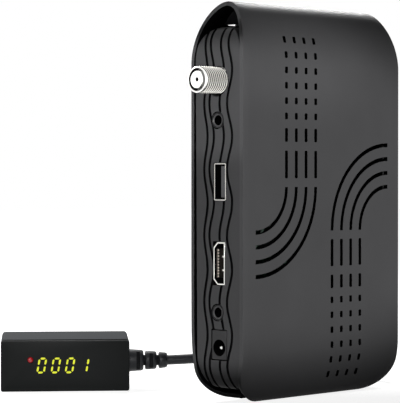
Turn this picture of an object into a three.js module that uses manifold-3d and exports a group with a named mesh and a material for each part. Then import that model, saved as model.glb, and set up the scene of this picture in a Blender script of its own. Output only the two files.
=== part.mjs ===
// A small satellite receiver that stands on its short end, with a plug-in display on a lead.
// Millimetres, +Z up. The vented face looks to -Y and the port panel to -X.
// The origin is the middle of the flat that the receiver stands on.
import * as THREE from 'three';
import Module from 'manifold-3d';
import { mergeGeometries, mergeVertices } from 'three/addons/utils/BufferGeometryUtils.js';

const wasm = await Module();
wasm.setup();

// Driving sizes of the receiver
const width = 84.8;
const thickness = 25.8;
const height = 142.3;
const wall = 1.65;
const clearance = 0.3;
const overrun = 2;

// Shell profile, seen from the port side
const archRise = 22;
const curlReach = 8;
const curlRise = 18;
const tuckReach = 10.3;
const tuckRise = 30;
const backLift = 1.5;
const seamBottom = 8.5;
const lapReach = 1.1;
const standWidth = 34;
const standDepth = 5;

// Shell outline, seen from the vented side
const topCornerReach = 5.3;
const topCornerRise = 22;
const lowCornerReach = 16;
const lowCornerRise = 12;

// Side panels
const panelRecess = 0.5;
const panelWall = 1.8;
const panelDrop = 9.2;
const panelBottom = 5.2;
const panelCurl = 4.5;
const panelCurlRise = 11;
const panelFlange = 11.2;

// Inner ribs that close the hollow under the arch
const ribPlace = 12;
const ribWall = 1.5;
const ribGap = 1.7;

// Vents
const ventWidth = 1.5;
const ventPitch = 5.2;
const ventColumns = 4;
const ventRows = 6;
const ventShort = 2.35;
const ventRowPitch = 5.46;
const ventDrop = 13.2;
const ventFirstColumn = 22.3;
const ventMedium = 4.9;
const ventLong = 9.9;
const ventArcFirst = 15.9;
const rearVentWidth = 5.5;
const rearVentTall = 0.8;
const rearVentPitch = 8.65;
const rearVentDrop = 7.25;
const rearVentCount = 7;

// Circuit board and what it carries
const boardPlace = 5.3;
const boardThickness = 1.6;
const boardDrop = 12.3;
const boardBottom = 8.2;
const postRadius = 3;
const postInset = 24;
const postLow = 17;
const coverPostLow = 12.6;
const screwRadius = 1.2;
const screwHeadRadius = 2.3;
const screwHead = 1.4;
const screwLength = 5.5;

// Heights of the ports and of what stands on the board, as shares of the whole height
const heightShares = {
  antenna: 0.80183,
  serial: 0.70344,
  usb: 0.55095,
  video: 0.34856,
  audio: 0.22628,
  power: 0.14617,
  ventMiddle: 0.48138,
  post: 0.88194,
  coverPost: 0.87983,
  memory: 0.64652,
  chip: 0.46381,
  supply: 0.14055,
};

// Ports: place of each centre across the thickness
const antennaPlace = -0.26;
const usbPlace = -1.15;
const videoPlace = -0.7;
const jackPlace = 0.1;
const powerPlace = -0.8;
const displayJackHeight = 36;

// Screw-on antenna socket
const threadRadius = 4.76;
const threadDepth = 0.45;
const threadPitch = 0.79;
const threadTurns = 12;
const antennaReach = 10.6;
const antennaBore = 3.78;
const antennaHole = 0.62;
const antennaShoulder = 5.2;

// Round jacks
const jackBore = 1.85;
const collarRadius = 2.25;
const barrelRadius = 2.85;
const jackBlockLength = 12;
const jackBlockWidth = 7.4;

// USB and video sockets
const usbTall = 13.2;
const usbAcross = 5.8;
const socketWall = 0.4;
const socketLength = 13.5;
const usbTongue = 1.84;
const usbTongueGap = 0.55;
const videoTall = 15.1;
const videoAcross = 5.6;
const videoChamfer = 1.9;
const videoTongue = 1;
const videoTongueGap = 0.35;
const contactThickness = 0.2;

// Power socket
const powerTall = 10.3;
const powerAcross = 7.1;
const powerBore = 2.95;
const powerDrop = 1;
const powerPinRadius = 0.66;
const powerLength = 13;

// Display module: its size, and the middle of its front lower edge
const displayWidth = 48;
const displayHeight = 18.94;
const displayDepth = 26;
const displayRise = 1.1;
const displayWall = 1.5;
const displayFrontThickness = 1.6;
const displayCorner = 1.6;
const displayX = -54.8;
const displayY = 67.24;
const displayTurn = -40.3;

// Digits and lamp on the module
const digitCount = 4;
const digitPitch = 5.27;
const digitWidth = 2.45;
const digitTall = 5.75;
const digitLine = 0.75;
const digitFirst = -9.2;
const digitMiddle = 9.7;
const digitSlant = 10;
const digitGap = 0.1;
const barTipShare = 0.42;
const lampPlace = -13;
const lampHeight = 11.76;
const lampRadius = 1.05;

// Display lead
const cordDiameter = 3.7;
const cordHeight = 10.5;
const cordDepth = 10;
const reliefLength = 14.4;
const reliefRadius = 4.25;
const reliefWall = 0.15;
const coilOuter = 26;
const coilPitch = 4.2;
const coilTurns = 7;
const coilX = 35;
const coilY = 47;
const tieThickness = 0.5;
const tieGap = 0.15;
const tieWidth = 6;
const plugReach = 8.4;
const plugWidth = 7.6;
const plugAbove = 4.4;
const plugBelow = 11;
const plugNub = 5.6;
const shaftRadius = 1.75;
const shaftLength = 14;

const cordRadius = cordDiameter / 2;
const coilFloor = tieThickness + tieGap + cordRadius;

// Route of the lead from the strain relief to the coil, and from the coil to the plug
const startRoute = [
  [-18.59, 49.64, 10.5], [-14.39, 46.08, 10.72], [-10.2, 42.53, 10.95], [-5.6, 38.7, 10.8], [0.4, 34.2, 9.6],
  [7.2, 29.7, 7.5], [14, 25.2, 5], [20.8, 22.5, 3.3], [26.2, 21.25, 2.6], [30.7, 21, 2.5],
];
const endRoute = [
  [39.3, 21, 6.7], [43, 20.9, 6.4], [46.8, 20.2, 5.4], [50.4, 18.6, 4], [53.4, 16, 2.8],
  [55.6, 12.6, 2.1], [56.2, 8.8, 2.3], [55, 5.3, 4], [52.2, 2.6, 7.1], [48.9, 0.9, 11.2],
  [46.7, 0.2, 15], [46.4, 0.1, 18.8],
];

const half = width / 2;
const front = -thickness / 2;
const back = thickness / 2;
const archCentre = height - archRise;
const panelTop = height - panelDrop;
const boardTop = height - boardDrop;
const rearVentHeight = height - rearVentDrop;

// Places down one column of vents, from the top row to the start of the arc
const ventTopRow = height - ventDrop;
const ventGap = ventRowPitch - ventShort;
const ventLastRow = ventTopRow - (ventRows - 1) * ventRowPitch;
const ventMediumPlace = ventLastRow - ventShort / 2 - ventGap - ventMedium / 2;
const ventLongPlace = ventMediumPlace - ventMedium / 2 - ventGap - ventLong / 2;
const ventArcStart = ventLongPlace - ventLong / 2 - ventGap;
const ventMiddle = height * heightShares.ventMiddle;

const antennaHeight = height * heightShares.antenna;
const serialHeight = height * heightShares.serial;
const usbHeight = height * heightShares.usb;
const videoHeight = height * heightShares.video;
const audioHeight = height * heightShares.audio;
const powerHeight = height * heightShares.power;
const postTop = height * heightShares.post;
const coverPostTop = height * heightShares.coverPost;
const chipZ = height * heightShares.chip;
const memoryZ = height * heightShares.memory;
const supplyZ = height * heightShares.supply;

const degree = Math.PI / 180;
const fine = 24;
const coarse = 16;

// Solids
function solidOf(geometry) {
  const bare = new THREE.BufferGeometry();
  const plain = geometry.index ? geometry.toNonIndexed() : geometry;
  bare.setAttribute('position', plain.getAttribute('position').clone());
  const merged = mergeVertices(bare);
  const corners = merged.index.array;
  const kept = [];
  for (let i = 0; i < corners.length; i += 3) {
    const [a, b, c] = [corners[i], corners[i + 1], corners[i + 2]];
    if (a !== b && b !== c && c !== a) kept.push(a, b, c);
  }
  return new wasm.Manifold(new wasm.Mesh({
    numProp: 3,
    vertProperties: merged.getAttribute('position').array,
    triVerts: Uint32Array.from(kept),
  }));
}

function geometryOf(solid) {
  const mesh = solid.getMesh();
  const points = new Float32Array(mesh.vertProperties.length / mesh.numProp * 3);
  for (let i = 0; i < points.length / 3; i += 1) {
    for (let axis = 0; axis < 3; axis += 1) {
      points[i * 3 + axis] = mesh.vertProperties[i * mesh.numProp + axis];
    }
  }
  const geometry = new THREE.BufferGeometry();
  geometry.setAttribute('position', new THREE.BufferAttribute(points, 3));
  geometry.setIndex([...mesh.triVerts]);
  return geometry;
}

function join(...solids) {
  return solids.reduce((whole, next) => whole.add(next));
}

function cut(whole, ...tools) {
  return tools.reduce((rest, tool) => rest.subtract(tool), whole);
}

// Prisms of an outline: along X the outline is in Y and Z, along Y it is in X and Z, along Z in X and Y
function prism(points, from, to, axes) {
  const shape = new THREE.Shape(points.map(([u, v]) => new THREE.Vector2(u, v)));
  const geometry = new THREE.ExtrudeGeometry(shape, { depth: to - from, bevelEnabled: false });
  geometry.translate(0, 0, from);
  geometry.applyMatrix4(axes);
  return geometry;
}

const unitX = new THREE.Vector3(1, 0, 0);
const unitY = new THREE.Vector3(0, 1, 0);
const unitZ = new THREE.Vector3(0, 0, 1);
const alongX = new THREE.Matrix4().makeBasis(unitY, unitZ, unitX);
const alongY = new THREE.Matrix4().makeBasis(unitX, unitZ, unitY.clone().negate());
const alongZ = new THREE.Matrix4();

function prismX(points, from, to) {
  return solidOf(prism(points, from, to, alongX));
}

function prismY(points, from, to) {
  return solidOf(prism(points, -to, -from, alongY));
}

function prismZ(points, from, to) {
  return solidOf(prism(points, from, to, alongZ));
}

function block(x0, x1, y0, y1, z0, z1) {
  const geometry = new THREE.BoxGeometry(x1 - x0, y1 - y0, z1 - z0);
  geometry.translate((x0 + x1) / 2, (y0 + y1) / 2, (z0 + z1) / 2);
  return solidOf(geometry);
}

// A turned piece: the profile is [radius, place] pairs, and place runs along X or along Y
function turnedX(profile, y, z, sides = fine) {
  const geometry = new THREE.LatheGeometry(profile.map(([r, p]) => new THREE.Vector2(r, p)), sides);
  geometry.rotateZ(-90 * degree);
  geometry.translate(0, y, z);
  return upright(geometry);
}

function turnedY(profile, x, z, sides = coarse) {
  const geometry = new THREE.LatheGeometry(profile.map(([r, p]) => new THREE.Vector2(r, p)), sides);
  geometry.translate(x, 0, z);
  return upright(geometry);
}

// Turns a solid the right way out when its profile ran the other way round
function upright(geometry) {
  const solid = solidOf(geometry);
  if (solid.volume() > 0) return solid;
  const flipped = geometry.index.array.slice();
  for (let i = 0; i < flipped.length; i += 3) [flipped[i], flipped[i + 1]] = [flipped[i + 1], flipped[i]];
  geometry.setIndex(new THREE.BufferAttribute(flipped, 1));
  return solidOf(geometry);
}

function rodX(radius, from, to, y, z, sides = fine) {
  return turnedX([[0, from], [radius, from], [radius, to], [0, to]], y, z, sides);
}

function rodY(radius, from, to, x, z, sides = coarse) {
  return turnedY([[0, from], [radius, from], [radius, to], [0, to]], x, z, sides);
}

// Outlines
function bend(centre, reach, power, fromTurn, toTurn, steps = 10) {
  const points = [];
  for (let i = 0; i <= steps; i += 1) {
    const turn = (fromTurn + (toTurn - fromTurn) * i / steps) * degree;
    const across = Math.cos(turn);
    const up = Math.sin(turn);
    points.push([
      centre[0] + reach[0] * Math.sign(across) * Math.abs(across) ** (2 / power),
      centre[1] + reach[1] * Math.sign(up) * Math.abs(up) ** (2 / power),
    ]);
  }
  return points;
}

function distinct(points) {
  const least = clearance / 100;
  return points.filter(([u, v], i) => {
    const [a, b] = points[(i + points.length - 1) % points.length];
    return Math.hypot(u - a, v - b) > least;
  });
}

function roundedOutline(u0, u1, v0, v1, radius, steps = 4) {
  return distinct([
    ...bend([u1 - radius, v1 - radius], [radius, radius], 2, 0, 90, steps),
    ...bend([u0 + radius, v1 - radius], [radius, radius], 2, 90, 180, steps),
    ...bend([u0 + radius, v0 + radius], [radius, radius], 2, 180, 270, steps),
    ...bend([u1 - radius, v0 + radius], [radius, radius], 2, 270, 360, steps),
  ]);
}

const archPower = 2;
const curlPower = 1.7;
const tuckPower = 2.6;
const panelPower = 2.5;

// Shell profile in Y and Z, drawn in by an inset
function profile(inset) {
  return distinct([
    ...bend([0, archCentre], [back - inset, archRise - inset], archPower, 0, 180, 28),
    ...bend([front + curlReach, curlRise], [curlReach - inset, curlRise - inset], curlPower, 180, 270),
    [front + seamBottom, inset],
    [front + seamBottom, backLift + inset],
    ...bend([back - tuckReach, backLift + tuckRise], [tuckReach - inset, tuckRise - inset],
      tuckPower, 270, 360),
  ]);
}

// Profile of the inner body, which fills the shell between the two hollows
function innerProfile(inset) {
  const low = curlRise - panelBottom;
  return distinct([
    ...bend([0, archCentre], [back - inset, panelTop - archCentre], panelPower, 0, 180, 20),
    ...bend([front + curlReach, curlRise], [curlReach - inset, low], 2, 180, 270, 6),
    ...bend([back - tuckReach, curlRise], [tuckReach - inset - backLift / 2, low], 2, 270, 360, 6),
  ]);
}

// Shell outline in X and Z
function faceOutline() {
  const cornerPower = 1.8;
  const steps = 9;
  const points = [];
  for (let i = 0; i <= steps; i += 1) {
    const share = i / steps;
    const along = height - topCornerRise * (1 - share);
    points.push([half - topCornerReach * share ** cornerPower, along]);
  }
  for (let i = steps; i >= 0; i -= 1) points.push([-points[i][0], points[i][1]]);
  return distinct([
    ...points,
    ...bend([-half + lowCornerReach, lowCornerRise], [lowCornerReach, lowCornerRise], 2, 180, 270, 8),
    ...bend([half - lowCornerReach, lowCornerRise], [lowCornerReach, lowCornerRise], 2, 270, 360, 8),
  ]);
}

const faceSolid = prismY(faceOutline(), front - overrun, back + overrun);
const shellRing = prismX(profile(0), -half, half)
  .subtract(prismX(profile(wall), -half - overrun, half + overrun));

// Each rib closes the hollow at one side, above the inner body
function rib(side, y0, y1) {
  const near = side < 0 ? -half + ribPlace : half - ribPlace - ribWall;
  const plate = prismX(profile(wall / 2), near, near + ribWall);
  return plate.intersect(block(-half, half, y0, y1, panelTop + ribGap, height));
}

function shellPart(y0Top, y1Top, y0Low, y1Low) {
  const middle = height / 2;
  const top = block(-half - overrun, half + overrun, y0Top, y1Top, middle, height + overrun);
  const low = block(-half - overrun, half + overrun, y0Low, y1Low, -overrun, middle);
  return shellRing.intersect(top.add(low));
}

// Vent slots of the vented face, as cutters; the two groups mirror each other through the middle of the face
function ventCutters() {
  const y0 = front - overrun;
  const y1 = front + wall + overrun;
  const group = [];
  const straight = (x, z, tall) => (
    block(x - ventWidth / 2, x + ventWidth / 2, y0, y1, z - tall / 2, z + tall / 2));
  for (let column = 0; column < ventColumns; column += 1) {
    const x = -half + ventFirstColumn + column * ventPitch;
    for (let row = 0; row < ventRows; row += 1) {
      group.push(straight(x, ventTopRow - row * ventRowPitch, ventShort));
    }
    group.push(straight(x, ventMediumPlace, ventMedium));
    group.push(straight(x, ventLongPlace, ventLong));
    const radius = ventArcFirst + column * ventPitch;
    const centre = [x - radius, ventArcStart];
    const outer = radius + ventWidth / 2;
    const inner = radius - ventWidth / 2;
    const outline = [
      ...bend(centre, [outer, outer], 2, 270, 360, 9),
      ...bend(centre, [inner, inner], 2, 360, 270, 9),
    ];
    group.push(prismY(outline, y0, y1));
  }
  const left = join(...group);
  const right = left.rotate([0, 180, 0]).translate([0, 0, 2 * ventMiddle]);
  return left.add(right);
}

// Front cover: the vented face, half of the arch and the curl under the lower end
function frontCover() {
  const post = z => rodY(postRadius, front + wall / 2, boardPlace + boardThickness + clearance, 0, z);
  const bore = z => rodY(screwRadius + clearance / 2, boardPlace - screwLength, back, 0, z, 12);
  const seam = clearance / 2;
  const shell = shellPart(front - overrun, -seam, front - overrun, front + seamBottom - seam);
  const ribs = [rib(-1, front, -seam), rib(1, front, -seam)];
  const whole = join(shell, ...ribs, post(coverPostTop), post(coverPostLow)).intersect(faceSolid);
  return cut(whole, bore(coverPostTop), bore(coverPostLow), ventCutters());
}

// Back cover: the other half of the arch, the plain back, the lap over the front cover and the standing flat
function backCover() {
  const seam = clearance / 2;
  const lapTop = backLift + wall;
  const shell = shellPart(seam, back + overrun, front + seamBottom + seam, back + overrun);
  const lap = block(-half + lowCornerReach, half - lowCornerReach, front + seamBottom - lapReach,
    front + seamBottom + wall, wall + 2 * clearance, lapTop);
  const faceLow = block(-half, half, front, back, 0, backLift + wall);
  const stand = block(-standWidth / 2, standWidth / 2, -standDepth / 2, standDepth / 2,
    0, lapTop - clearance);
  const ribs = [rib(-1, seam, back), rib(1, seam, back)];
  const posts = postPlaces.map(([x, z]) => (
    rodY(postRadius, boardPlace + boardThickness + clearance, back - wall / 2, x, z)));
  const bosses = [coverPostTop, coverPostLow].map(z => (
    rodY(postRadius + wall, boardPlace + boardThickness + 2 * clearance, back - wall / 2, 0, z)));
  const outside = join(faceLow, prismX(profile(0), -half, half));
  const whole = join(shell, lap, stand, ...ribs, ...posts, ...bosses).intersect(faceSolid).intersect(outside);
  const bores = postPlaces.map(([x, z]) => (
    rodY(screwRadius + clearance / 2, boardPlace, boardPlace + screwLength, x, z, 12)));
  const sinks = [coverPostTop, coverPostLow].flatMap(z => [
    rodY(screwRadius + clearance, boardPlace, back + overrun, 0, z, 12),
    rodY(screwHeadRadius + clearance, coverScrewSeat, back + overrun, 0, z, coarse),
  ]);
  return cut(whole, ...bores, ...sinks, ...rearVents());
}

const postPlaces = [[-postInset, postTop], [postInset, postTop], [-postInset, postLow], [postInset, postLow]];
const coverScrewSeat = back - wall - screwHead;

// One row of slots under the arch of the back cover
function rearVents() {
  const slots = [];
  for (let i = 0; i < rearVentCount; i += 1) {
    const x = (i - (rearVentCount - 1) / 2) * rearVentPitch;
    slots.push(block(x - rearVentWidth / 2, x + rearVentWidth / 2, back / 4, back + overrun,
      rearVentHeight - rearVentTall / 2, rearVentHeight + rearVentTall / 2));
  }
  return slots;
}

// Side panel: a plate whose ends curl inward into a roof and a floor
function sidePanel() {
  const face = -half + panelRecess;
  const inner = face + panelWall;
  const end = -half + panelFlange;
  const curlAt = (z, inset, from, to) => bend(
    [face + panelCurl, z], [panelCurl - inset, panelCurlRise - inset], 2, from, to, 6);
  const curl = (...turns) => curlAt(panelTop - panelCurlRise, ...turns);
  const curlLow = (...turns) => curlAt(panelBottom + panelCurlRise, ...turns);
  const outline = distinct([
    [end, panelTop],
    ...curl(0, 90, 180),
    ...curlLow(0, 180, 270),
    [end, panelBottom],
    [end, panelBottom + panelWall],
    ...curlLow(panelWall, 270, 180),
    ...curl(panelWall, 180, 90),
    [end, panelTop - panelWall],
  ]);
  const strip = prismY(outline, front, back);
  const body = strip.intersect(prismX(innerProfile(wall + clearance), -half - overrun, inner + half));
  return body.intersect(faceSolid);
}

function portHole(y, z, radius) {
  return rodX(radius, -half - overrun, -half + panelFlange, y, z);
}

function portPanel() {
  const through = (y, z, across, tall) => {
    const reach = across / 2 + clearance;
    const rise = tall / 2 + clearance;
    return block(-half - overrun, -half + panelFlange / 2, y - reach, y + reach, z - rise, z + rise);
  };
  return cut(
    sidePanel(),
    portHole(antennaPlace, antennaHeight, threadRadius + clearance),
    portHole(jackPlace, serialHeight, barrelRadius + clearance),
    portHole(jackPlace, audioHeight, barrelRadius + clearance),
    through(usbPlace, usbHeight, usbAcross, usbTall),
    through(videoPlace, videoHeight, videoAcross, videoTall),
    through(powerPlace, powerHeight, powerAcross, powerTall),
  );
}

function farPanel() {
  const mirrored = sidePanel().scale([-1, 1, 1]);
  return cut(mirrored, rodX(barrelRadius + clearance, half - panelFlange, half + overrun,
    jackPlace, displayJackHeight));
}

// Circuit board, with notches for the posts that join the covers
const boardEdge = half - panelRecess - panelWall - clearance;

function circuitBoard() {
  const outline = roundedOutline(-boardEdge, boardEdge, boardBottom, boardTop, 2 * postRadius);
  const plate = prismY(outline, boardPlace, boardPlace + boardThickness);
  const holes = postPlaces.map(([x, z]) => (
    rodY(screwRadius + clearance, boardPlace - overrun, boardPlace + boardThickness + overrun, x, z, 12)));
  const notches = [coverPostTop, coverPostLow].map(z => (
    rodY(postRadius + clearance, boardPlace - overrun, boardPlace + boardThickness + overrun, 0, z)));
  const panels = prismX(innerProfile(wall + panelWall + 2 * clearance), -half, half);
  return cut(plate, ...holes, ...notches).intersect(panels);
}

// A part that stands on the vented side of the board
function onBoard(x, z, wide, tall, deep) {
  const seat = boardPlace - clearance;
  return block(x - wide / 2, x + wide / 2, seat - deep, seat, z - tall / 2, z + tall / 2);
}

// Tuner can behind the antenna socket
const canWidth = 38;
const canGap = 0.8;
const canTall = 2 * (postTop - postRadius - canGap - antennaHeight);
const canDepth = 11.6;
const canX = -half + panelFlange + canWidth / 2 + clearance;

function tunerCan() {
  return onBoard(canX, antennaHeight, canWidth, canTall, canDepth);
}

// Antenna socket: turned threads, shoulder and bore
function antennaBody() {
  const tip = -half - antennaReach;
  const root = canX - canWidth / 2 - clearance;
  const points = [[antennaBore, tip], [threadRadius - threadDepth, tip]];
  for (let i = 0; i < threadTurns; i += 1) {
    const place = tip + threadPitch * (i + 0.25);
    points.push([threadRadius - threadDepth, place]);
    points.push([threadRadius, place + threadPitch / 4]);
    points.push([threadRadius, place + threadPitch / 2]);
    points.push([threadRadius - threadDepth, place + threadPitch * 3 / 4]);
  }
  const shoulder = -half + panelRecess + panelWall + clearance;
  points.push([threadRadius - threadDepth, shoulder]);
  points.push([antennaShoulder, shoulder]);
  points.push([antennaShoulder, root]);
  points.push([antennaBore, root]);
  points.push(points[0]);
  return turnedX(points, antennaPlace, antennaHeight, coarse);
}

function antennaInsulator() {
  const tip = -half - antennaReach + clearance;
  const outer = antennaBore - clearance;
  const hole = antennaHole;
  const root = canX - canWidth / 2 - clearance;
  return turnedX([[hole, tip], [outer, tip], [outer, root], [hole, root], [hole, tip]],
    antennaPlace, antennaHeight);
}

function antennaContact() {
  const tip = -half - antennaReach + 3 * clearance;
  return rodX(antennaHole - clearance, tip, canX - canWidth / 2 - clearance, antennaPlace, antennaHeight, 12);
}

// Round jack: a block on the board with a barrel through the panel, and a plated collar in the barrel
function jackBody(z) {
  const face = -half + panelRecess;
  const rear = face + panelWall + clearance;
  const barrel = rodX(barrelRadius, face, rear + clearance, jackPlace, z);
  const seat = block(rear, rear + jackBlockLength, jackPlace - jackBlockWidth / 2, boardPlace - clearance,
    z - jackBlockWidth / 2, z + jackBlockWidth / 2);
  return barrel.add(seat).subtract(rodX(collarRadius + clearance, face - overrun,
    rear + jackBlockLength + overrun, jackPlace, z));
}

function jackCollar(z) {
  const face = -half + panelRecess + clearance;
  const end = face + jackBlockLength;
  return turnedX([
    [jackBore, face], [collarRadius, face], [collarRadius, end], [jackBore, end], [jackBore, face],
  ], jackPlace, z);
}

// Open metal shell of a flat socket
function socketShell(outline, inner) {
  const face = -half + panelRecess;
  const outer = prismX(outline, face, face + socketLength);
  return outer.subtract(prismX(inner, face - overrun, face + socketLength - socketWall));
}

function usbOutline(inset) {
  return roundedOutline(usbPlace - usbAcross / 2 + inset, usbPlace + usbAcross / 2 - inset,
    usbHeight - usbTall / 2 + inset, usbHeight + usbTall / 2 - inset, socketWall, 2);
}

// The tongue lies towards the vented face, and its contacts look back
const usbTongueFront = usbPlace - usbAcross / 2 + socketWall + usbTongueGap;
const usbTongueBack = usbTongueFront + usbTongue;

function usbTonguePart() {
  const face = -half + panelRecess + socketWall;
  const reach = usbTall / 2 - socketWall - 2 * clearance;
  return block(face, face + socketLength - 2 * socketWall - clearance, usbTongueFront, usbTongueBack,
    usbHeight - reach, usbHeight + reach);
}

// A row of thin contact strips beside a tongue, on one carrier bar at the rear; y is the middle of the strips
function contactRow(count, span, stripShare, length, y, z) {
  const face = -half + panelRecess + 2 * socketWall;
  const pitch = span / count;
  const reach = contactThickness / 2;
  const strips = [block(face + length - 2 * contactThickness, face + length, y - reach, y + reach,
    z - span / 2, z + span / 2)];
  for (let i = 0; i < count; i += 1) {
    const middle = z - span / 2 + pitch * (i + 1 / 2);
    strips.push(block(face, face + length, y - reach, y + reach, middle - pitch * stripShare / 2,
      middle + pitch * stripShare / 2));
  }
  return join(...strips);
}

// Video socket: the wide side towards the vented face, chamfered towards the back
function videoOutline(inset) {
  const y0 = videoPlace - videoAcross / 2 + inset;
  const y1 = videoPlace + videoAcross / 2 - inset;
  const top = videoTall / 2 - inset;
  const chamfer = videoChamfer - inset / 2;
  return [
    [y0, videoHeight - top], [y1 - chamfer, videoHeight - top], [y1, videoHeight - top + chamfer],
    [y1, videoHeight + top - chamfer], [y1 - chamfer, videoHeight + top], [y0, videoHeight + top],
  ];
}

// The tongue lies towards the back, and its contacts look to the vented face
const videoTongueBack = videoPlace + videoAcross / 2 - socketWall - videoTongueGap;
const videoTongueFront = videoTongueBack - videoTongue;

function videoTonguePart() {
  const face = -half + panelRecess + socketWall;
  const reach = videoTall / 2 - videoChamfer - socketWall;
  return block(face, face + socketLength - 2 * socketWall - clearance, videoTongueFront, videoTongueBack,
    videoHeight - reach, videoHeight + reach);
}

// From a tongue's face to the middle of its contacts
const contactSeat = (clearance + contactThickness) / 2;

// Power socket
function powerBody() {
  const face = -half + panelRecess;
  const body = block(face, face + powerLength, powerPlace - powerAcross / 2, powerPlace + powerAcross / 2,
    powerHeight - powerTall / 2, powerHeight + powerTall / 2);
  const foot = block(face + panelWall + clearance, face + powerLength, powerPlace, boardPlace - clearance,
    powerHeight - powerTall / 2, powerHeight + powerTall / 2);
  return body.add(foot).subtract(rodX(powerBore, face - overrun, face + powerLength - panelWall, powerPlace,
    powerHeight - powerDrop));
}

function powerPin() {
  const face = -half + panelRecess;
  return rodX(powerPinRadius, face + panelWall / 2, face + powerLength - panelWall - clearance, powerPlace,
    powerHeight - powerDrop, 12);
}

// Parts on the board
const chipSize = 17;
const chipHeight = 1.6;
const chipX = 8;
const sinkSize = 26;
const sinkHeight = 7;
const sinkBase = 1.8;
const sinkFins = 7;
const memoryWidth = 9;
const memoryTall = 13;
const memoryHeight = 1.1;
const flashWidth = 12;
const flashTall = 8;
const crystalLength = 11;
const crystalWidth = 4.6;
const crystalHeight = 3.6;
const inductorSize = 7;
const inductorHeight = 4;
const capacitorRadius = 4;
const capacitorHeight = 11;

function heatSink() {
  const y1 = boardPlace - 2 * clearance - chipHeight;
  const y0 = y1 - sinkHeight;
  const base = block(chipX - sinkSize / 2, chipX + sinkSize / 2, y1 - sinkBase, y1, chipZ - sinkSize / 2,
    chipZ + sinkSize / 2);
  const pitch = sinkSize / (sinkFins - 1 / 2);
  const fins = [];
  for (let i = 0; i < sinkFins; i += 1) {
    const x = chipX - sinkSize / 2 + i * pitch;
    fins.push(block(x, x + pitch / 2, y0, y1 - sinkBase / 2, chipZ - sinkSize / 2, chipZ + sinkSize / 2));
  }
  return join(base, ...fins);
}

function memoryChip(side) {
  return onBoard(chipX + side * memoryWidth, memoryZ, memoryWidth, memoryTall, memoryHeight);
}

function crystal() {
  const seat = boardPlace - clearance;
  const x = chipX + sinkSize / 2 + crystalWidth;
  return prismY(roundedOutline(x - crystalWidth / 2, x + crystalWidth / 2, chipZ - crystalLength / 2,
    chipZ + crystalLength / 2, crystalWidth / 2), seat - crystalHeight, seat);
}

function inductor(index) {
  const seat = boardPlace - clearance;
  const x = -inductorSize + index * inductorSize * 3 / 2;
  return prismY(roundedOutline(x - inductorSize / 2, x + inductorSize / 2, supplyZ + inductorSize,
    supplyZ + 2 * inductorSize, inductorSize / 4), seat - inductorHeight, seat);
}

function capacitor(index) {
  const seat = boardPlace - clearance;
  return rodY(capacitorRadius, seat - capacitorHeight, seat, -inductorSize + index * capacitorRadius * 5 / 2,
    supplyZ + 2 * inductorSize + capacitorRadius * 3 / 2);
}

function boardScrew([x, z]) {
  const seat = boardPlace - clearance;
  const shank = rodY(screwRadius, seat - screwHead / 2, seat + screwLength, x, z, 12);
  return shank.add(rodY(screwHeadRadius, seat - screwHead, seat, x, z));
}

function coverScrew(z) {
  const seat = coverScrewSeat + clearance;
  const shank = rodY(screwRadius, boardPlace - screwLength + clearance, seat + clearance, 0, z, 12);
  return shank.add(rodY(screwHeadRadius, seat, seat + screwHead, 0, z));
}

// Display module, in its own place: front face to -Y, standing on z = 0
function displayHousing() {
  const y0 = displayFrontThickness + clearance;
  const top = displayHeight + displayRise;
  const side = distinct([
    [y0, 0],
    ...bend([displayDepth - displayCorner, displayCorner], [displayCorner, displayCorner], 2, 270, 360, 3),
    ...bend([displayDepth - displayCorner, top - displayCorner], [displayCorner, displayCorner], 2, 0, 90, 4),
    [y0, displayHeight],
  ]);
  const x1 = displayWidth / 2;
  const plan = roundedOutline(-x1, x1, -displayDepth, displayDepth, displayCorner);
  const face = roundedOutline(-x1, x1, 0, top, displayCorner);
  const outer = prismX(side, -x1, x1).intersect(prismZ(plan, -overrun, top + overrun))
    .intersect(prismY(face, -overrun, displayDepth + overrun));
  const inner = block(-x1 + displayWall, x1 - displayWall, -overrun, displayDepth - displayWall, displayWall,
    displayHeight - displayWall);
  const exit = rodX(cordRadius + clearance, x1 - displayWall - overrun, x1 + overrun,
    cordDepth, cordHeight, coarse);
  return cut(outer, inner, exit);
}

// Outline of one bar of a digit, pointed at both ends
function barOutline(u, v, length, upright) {
  const tip = length / 2 - digitLine * barTipShare;
  const shoulder = tip - digitLine / 2;
  const side = digitLine / 2;
  const points = [
    [-tip, 0], [-shoulder, -side], [shoulder, -side], [tip, 0], [shoulder, side], [-shoulder, side],
  ];
  return points.map(([a, b]) => (upright ? [u - b, v + a] : [u + a, v + b]));
}

// Bars of one digit, in the order top, upper right, lower right, bottom, lower left, upper left, middle
function digitBars() {
  const w = digitWidth;
  const h = digitTall / 2;
  return [
    barOutline(0, h, w, false), barOutline(w / 2, h / 2, h, true), barOutline(w / 2, -h / 2, h, true),
    barOutline(0, -h, w, false), barOutline(-w / 2, -h / 2, h, true), barOutline(-w / 2, h / 2, h, true),
    barOutline(0, 0, w, false),
  ];
}

const litBars = [[0, 1, 2, 3, 4, 5], [0, 1, 2, 3, 4, 5], [0, 1, 2, 3, 4, 5], [1, 2]];

function barPrisms(grow, y0, y1) {
  const prisms = [];
  for (let digit = 0; digit < digitCount; digit += 1) {
    digitBars().forEach((outline, bar) => {
      if (!litBars[digit].includes(bar)) return;
      const corners = outline.length;
      const centre = outline.reduce(([a, b], [u, v]) => [a + u / corners, b + v / corners], [0, 0]);
      const placed = outline.map(([u, v]) => {
        const [du, dv] = [u - centre[0], v - centre[1]];
        const spread = 1 + grow / Math.hypot(du, dv);
        const [x, z] = [centre[0] + du * spread, centre[1] + dv * spread];
        return [x + z * Math.tan(digitSlant * degree) + digitFirst + digit * digitPitch, z + digitMiddle];
      });
      prisms.push(prismY(placed, y0, y1));
    });
  }
  return join(...prisms);
}

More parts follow.
